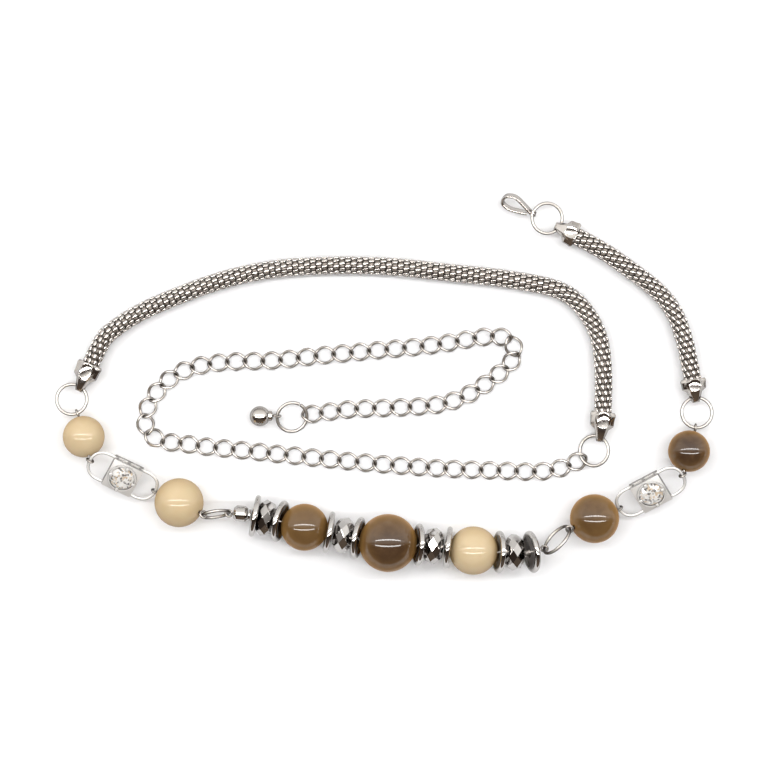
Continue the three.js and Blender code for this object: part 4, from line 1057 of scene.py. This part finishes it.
def link_box():
    inner = LINK_FRAME - 2 * LINK_WALL
    top = LINK_HEIGHT / 2
    bezel = on_z([(SEAT - BEZEL_FOOT, top - LINK_PLATE), (SEAT + BEZEL_WALL, top - LINK_PLATE),
                  (SEAT + BEZEL_WALL, top + BEZEL_RISE), (SEAT - BEZEL_FOOT, top + BEZEL_RISE)])
    hollow = block(inner, inner, LINK_HEIGHT, (0, 0, -LINK_PLATE))
    hole = bmesh.new()
    bmesh.ops.create_cone(hole, segments=40, radius1=SEAT, radius2=SEAT, depth=2 * LINK_HEIGHT,
                          cap_ends=True)
    slots = [block(LINK_SLOT_LENGTH, LINK_FRAME * 2, LINK_SLOT_HEIGHT, (x, 0, 0))
             for x in (-inner / 4, inner / 4)]
    return carved(block(LINK_FRAME, LINK_FRAME, LINK_HEIGHT), joined=[bezel], cut=[hollow, hole, *slots])


def prongs(whole):
    slope = STONE_CROWN / (STONE_DIAMETER / 2 * (1 - STONE_TABLE_SHARE))
    bottom = STONE_LEVEL + STONE_GIRDLE + slope * PRONG_OVERLAP + GAP
    inside = STONE_DIAMETER / 2 - PRONG_OVERLAP
    outside = SEAT + BEZEL_WALL
    foot = LINK_HEIGHT / 2 - LINK_PLATE
    for i in range(4):
        turn = Matrix.Rotation(i * pi / 2, 4, "Z")
        claw = block(outside - inside, PRONG_WIDTH, PRONG_THICKNESS,
                     ((inside + outside) / 2, 0, bottom + PRONG_THICKNESS / 2))
        post = block(BEZEL_WALL, PRONG_WIDTH, bottom - foot,
                     (outside - BEZEL_WALL / 2, 0, (bottom + foot) / 2))
        add(whole, rounded(claw, PRONG_EDGE, 3), turn)
        add(whole, rounded(post, POST_EDGE, 2), turn)
    return whole


def end_loop(side):
    """Part of a slightly squared ellipse of wire, from corner to corner of the frame's end."""
    foot = LINK_FRAME / 2 - LINK_WALL
    reach = LINK_PITCH / 2 - foot
    half_width = LOOP_WIDTH / 2
    half_length = reach / (1 - cos(LOOP_TURN))
    centre = foot + reach - half_length
    loop = []
    for angle in np.linspace(-LOOP_TURN, LOOP_TURN, LOOP_STEPS):
        x, y = [abs(v) ** LOOP_SQUARENESS * (1 if v > 0 else -1) for v in (cos(angle), sin(angle))]
        loop.append((side * (centre + half_length * x), half_width * y, 0))
    return wire(loop, LINK_WIRE)


def stone_shape():
    """A round brilliant: table, two rows of crown facets, girdle and two rows of pavilion facets."""
    radius = STONE_DIAMETER / 2
    half = STONE_GIRDLE / 2

    def ring(share, z, count, shift):
        turns = [2 * pi * (i + shift) / count for i in range(count)]
        return [(radius * share * cos(a), radius * share * sin(a), z) for a in turns]

    return hull([
        *ring(STONE_TABLE_SHARE, half + STONE_CROWN, 8, 0.5), *ring(0.8, half + STONE_CROWN * 0.56, 8, 0),
        *ring(1, half, 16, 0), *ring(1, -half, 16, 0),
        *ring(0.5, -half - STONE_PAVILION * 0.53, 8, 0.5), (0, 0, -STONE_PAVILION - half),
    ])


for number, start, end in ((1, pin_1_end, pin_2_start), (2, pin_3_end, pin_4_start)):
    seat = frame_at((start + end) / 2, end - start, UP, -LINK_ROLL)
    box = prongs(link_box())
    for side in (-1, 1):
        add(box, end_loop(side))
    piece(f"link_{number}_setting", box, "satin_silver", [f"crystal_link_{number}"], seat, slot="silver")
    piece(f"stone_{number}_cut", stone_shape(), "crystal", [f"crystal_stone_{number}"],
          seat @ Matrix.Translation((0, 0, STONE_LEVEL)), angle=radians(1))
print("crystal links: 2")

# %% [markdown]
# ## The string in the middle
# Dished discs are thin spun metal with a rolled rim, rondelles are cut like a drum of lozenges, and the
# wire runs through everything and ends in an eye at each ring.

# %% Discs, rondelles and small turned pieces
DISC_ROLL = 0.00115
DISC_ROLL_TURN = radians(140)
FACET_EDGE = 0.00008
LOZENGE_STATIONS = [(-0.5, 0.0045, 0.5), (-0.34, 0.00636, 0), (-0.113, 0.0075, 0.5)]


def disc_shape(hollow):
    half = CUP_DISC_THICKNESS / 2
    radius = CUP_DISC_DIAMETER / 2
    rim = radius - CUP_DISC_RIM
    bore = WIRE_BORE / 2
    radii = np.linspace(bore, rim, 9)
    dish = [CUP_DISC_DEPTH * cos(pi / 2 * (r - bore) / (rim - bore)) for r in radii]
    back = [(-half - d, r) for r, d in zip(radii, dish)]
    turns = np.linspace(-DISC_ROLL_TURN, DISC_ROLL_TURN, 17)
    edge = [(DISC_ROLL * sin(a), radius - DISC_ROLL + DISC_ROLL * cos(a)) for a in turns]
    front = [(half - d, r) for r, d in reversed(list(zip(radii, dish)))]
    return turned([(hollow * x, r) for x, r in back + edge + front], 64)


def rondelle_shape():
    """Two staggered columns of lozenges: rings of corners, each turned half a side from the last."""
    count = RONDELLE_SIDES
    stations = [(x * RONDELLE_WIDTH, radius, shift) for x, radius, shift in LOZENGE_STATIONS]
    stations += [(-x, radius, 0.5 - shift) for x, radius, shift in stations]
    points = []
    for x, radius, shift in stations:
        turns = [2 * pi * (i + shift) / count for i in range(count)]
        points += [(x, radius * cos(a), radius * sin(a)) for a in turns]
    return rounded(hull(points), FACET_EDGE, 1)


def sleeve_shape(length, diameter, end_diameter):
    half = length / 2
    shape = turned([
        (-half, WIRE_BORE / 2), (-half, end_diameter / 2), (-half * 0.6, diameter / 2),
        (half * 0.6, diameter / 2), (half, end_diameter / 2), (half, WIRE_BORE / 2),
    ], 40)
    return rounded(shape, EDGE_SOFTNESS, 1)


MAKE = {
    "disc": lambda row: disc_shape(row["hollow"]),
    "rondelle": lambda row: rondelle_shape(),
    "bead": lambda row: bead_shape(row["size"]),
    "spacer": lambda row: sleeve_shape(SPACER_RING_WIDTH, SPACER_RING_DIAMETER, SPACER_RING_DIAMETER),
    "barrel": lambda row: sleeve_shape(BARREL_LENGTH, BARREL_DIAMETER, BARREL_DIAMETER * 0.7),
}

# %% Thread the string
line = [string_start, *middles, string_end]
bores = []
for i, row in enumerate(THREADED):
    way = towards(line[i], line[i + 2])
    half = row.get("bore", 0) / 2
    bores += [along(line[i + 1], way, x) for x in ((-half, half) if half else (0,))]
    lean = Matrix.Rotation(radians(row.get("lean", 0)), 4, "Y")
    turn = Matrix.Rotation(radians(row.get("turn", 0)), 4, "X")
    angle = radians(1) if row["kind"] == "rondelle" else SMOOTH_ANGLE
    piece(f"{row['name']}_smooth", MAKE[row["kind"]](row), row.get("finish", "mirror_silver"),
          [row["name"]], frame_at(line[i + 1], way) @ lean @ turn, angle=angle)

first_way = towards(string_start, line[1])
last_way = towards(line[-2], string_end)
string_ways = rings["string_ring_right"]["ways"][1], rings["string_ring_left"]["ways"][0]
string = wire([
    eye_foot(string_start, string_ways[0], first_way), along(string_start, first_way, EYE_REACH + GAP),
    *bores, along(string_end, last_way, -EYE_REACH), eye_foot(string_end, string_ways[1], -last_way),
], EYE_WIRE)
eye(string, string_start, string_ways[0])
eye(string, string_end, string_ways[1])

# %% [markdown]
# In the hollow of the last disc the wire is wound round itself, so a short helix of it is added there.

# %% Wound wire
COIL_TURNS = 4
COIL_STEPS = 20
COIL_WIRE = EYE_WIRE * 0.7
coil_start = along(middles[0], first_way, CUP_DISC_THICKNESS / 2 + GAP)
coil_seat = frame_at(coil_start, first_way)
coil_radius = (COIL_DIAMETER - COIL_WIRE) / 2
helix = []
for i in range(COIL_TURNS * COIL_STEPS + 1):
    angle = 2 * pi * i / COIL_STEPS
    advance = COIL_LENGTH * i / (COIL_TURNS * COIL_STEPS)
    helix.append((advance, coil_radius * cos(angle), coil_radius * sin(angle)))
add(string, wire(helix, COIL_WIRE, fineness=2), coil_seat)
piece("string_wire_wound", string, "wire_silver", ["string_wire"], slot="silver")
print("string pieces:", len(THREADED) + 1)

# %% [markdown]
# ## Curb chain and ball
# One link is a wire loop twisted a quarter turn from end to end, so that it lies flat with its neighbours
# through it. The same link is set at every crossing of the walk.

# %% Chain
LINK_STEPS = 36


def chain_link():
    half_width = (CHAIN_LINK_WIDTH - CHAIN_WIRE) / 2
    loop = []
    for i in range(LINK_STEPS):
        angle = 2 * pi * i / LINK_STEPS
        twist = radians(CHAIN_TWIST) * cos(angle)
        side = half_width * sin(angle)
        loop.append((CHAIN_HALF * cos(angle), side * cos(twist), side * sin(twist)))
    return wire(loop, CHAIN_WIRE, closed=True, fineness=2)


chain_stops = [chain_start, *crossings, chain_end]
seats = []
for i, (before, after) in enumerate(zip(chain_stops, chain_stops[1:])):
    way = towards(before, after)
    middle = along(after, way, -CHAIN_PITCH / 2) if i == 0 else along(before, way, CHAIN_PITCH / 2)
    seats.append(frame_at(middle, way))
piece("chain_links", repeated(chain_link(), seats), "wire_silver", ["curb_chain"], slot="silver")
print("chain links:", len(seats))

# %% Ball
COLLAR_REACH = 0.0011
COLLAR_BORE_RADIUS = EYE_WIRE / 4
COLLAR_PROFILE = [(0, 0.0012), (0.0004, 0.002), (0.0011, 0.0021), (0.002, 0.0021)]
ball_way = ball_eye - chain_end
ball_way.z = 0
ball_way.normalize()
ball_middle = along(ball_eye, ball_way, BALL_TO_EYE)
ball = bmesh.new()
bmesh.ops.create_uvsphere(ball, u_segments=40, v_segments=24, radius=BALL_DIAMETER / 2,
                          matrix=frame_at(ball_middle, ball_way))
collar = turned([(0, COLLAR_BORE_RADIUS), *COLLAR_PROFILE, (COLLAR_PROFILE[-1][0], COLLAR_BORE_RADIUS)], 32)
rounded(collar, BAND_EDGE, 2)
add(ball, collar, frame_at(along(ball_middle, ball_way, -BALL_DIAMETER / 2 - COLLAR_REACH), ball_way))
add(ball, wire([along(ball_eye, ball_way, EYE_RADIUS), ball_middle], EYE_WIRE))
eye(ball, ball_eye, rings["jump_ring_5"]["ways"][1])
piece("ball_and_collar", ball, "silver", ["ball_end"])

# %% [markdown]
# ## Table, light and camera
# The photo is a catalogue picture on white: a pale table, a soft light from everywhere, two long tubes of
# light straight above, which the beads mirror as two thin bars, and a darker room towards the bottom of the
# picture.

# %% Table
TABLE_SIZE = 6.0
TABLE_DROP = 0.0001
TABLE_WHITE = (0.935, 0.94, 0.955)
table = bmesh.new()
bmesh.ops.create_grid(table, x_segments=1, y_segments=1, size=TABLE_SIZE / 2,
                      matrix=Matrix.Translation((0, 0, cad_box[0][2] - TABLE_DROP)))
table_mesh = bpy.data.meshes.new("table")
table.to_mesh(table_mesh)
table_top = bpy.data.objects.new("table", table_mesh)
bpy.context.scene.collection.objects.link(table_top)
new_finish("table_white", {"Base Color": (*TABLE_WHITE, 1), "Roughness": 0.8})
table_mesh.materials.append(FINISHES["table_white"])


# %% Lights
def panel(name, place, aim, width, depth, power):
    light = bpy.data.lights.new(name, "AREA")
    light.shape = "RECTANGLE"
    light.size = width
    light.size_y = depth
    light.energy = power
    lamp = bpy.data.objects.new(name, light)
    lamp.location = place
    lamp.rotation_euler = (Vector(aim) - Vector(place)).to_track_quat("-Z", "Y").to_euler()
    bpy.context.scene.collection.objects.link(lamp)


TUBE_LIGHT_HEIGHT = 0.95
TUBE_LIGHT_ASIDE = 0.215
TUBE_LIGHT_LENGTH = 2.4
TUBE_LIGHT_DEPTH = 0.085
TUBE_LIGHT_POWER = 6.5
GLOW_LENGTH, GLOW_DEPTH, GLOW_POWER, GLOW_RISE = 4.6, 0.08, 1.3, 0.01
HOLDER_LENGTH, HOLDER_POWER = 0.035, 0.12
for side in (-1, 1):
    y = side * TUBE_LIGHT_ASIDE
    x = side * TUBE_LIGHT_LENGTH / 2
    panel(f"tube_light_{side}", (0, y, TUBE_LIGHT_HEIGHT), (0, y, 0), TUBE_LIGHT_LENGTH,
          TUBE_LIGHT_DEPTH, TUBE_LIGHT_POWER)
    panel(f"tube_glow_{side}", (0, y, TUBE_LIGHT_HEIGHT + GLOW_RISE), (0, y, 0), GLOW_LENGTH,
          GLOW_DEPTH, GLOW_POWER)
    panel(f"tube_holder_{side}", (x, 0, TUBE_LIGHT_HEIGHT), (x, 0, 0), HOLDER_LENGTH,
          2 * TUBE_LIGHT_ASIDE, HOLDER_POWER)

# %% [markdown]
# The rest of the light is the room itself: bright and soft towards the top of the picture, dark and warm
# towards the bottom. Every round thing mirrors that edge across its middle, which gives the metal its dark
# undersides and the brown beads their lighter upper half.

# %% Room
world = bpy.data.worlds.new("room")
bpy.context.scene.world = world
world.use_nodes = True
room = world.node_tree
sky = room.nodes["Background"]
direction = new_node(room, "ShaderNodeTexCoord")
parts = new_node(room, "ShaderNodeSeparateXYZ")
fade = new_node(room, "ShaderNodeValToRGB")
ROOM_STRENGTH = 0.93
ROOM_STOPS = [
    (0.0, (0.16, 0.12, 0.09)), (0.3, (0.035, 0.025, 0.02)), (0.47, (0.06, 0.045, 0.035)),
    (0.54, (0.95, 0.93, 0.9)), (0.7, (1.15, 1.13, 1.1)), (1.0, (0.75, 0.73, 0.7)),
]
ramp = fade.color_ramp
for position, colour in ROOM_STOPS[1:-1]:
    ramp.elements.new(position)
for element, (position, colour) in zip(ramp.elements, ROOM_STOPS):
    element.position = position
    element.color = (*colour, 1)
shift = new_node(room, "ShaderNodeMapRange", {"From Min": -1.0, "From Max": 1.0})
room.links.new(direction.outputs["Generated"], parts.inputs["Vector"])
room.links.new(parts.outputs["Y"], shift.inputs["Value"])
room.links.new(shift.outputs["Result"], fade.inputs["Fac"])
room.links.new(fade.outputs["Color"], sky.inputs["Color"])
sky.inputs["Strength"].default_value = ROOM_STRENGTH

# %% Camera
PHOTO_PIXEL = 0.00041
PHOTO_WIDTH = 768 * PHOTO_PIXEL
BELT_LEVEL = 0.007
OFF_CENTRE = (-0.3 * PHOTO_PIXEL, -0.1 * PHOTO_PIXEL)
camera_data = bpy.data.cameras.new("camera")
camera_data.lens = 100
camera_data.sensor_width = 36
camera = bpy.data.objects.new("camera", camera_data)
camera.location = (*OFF_CENTRE, PHOTO_WIDTH * camera_data.lens / camera_data.sensor_width + BELT_LEVEL)
bpy.context.scene.collection.objects.link(camera)
bpy.context.scene.camera = camera
bpy.context.scene.view_settings.view_transform = "Standard"
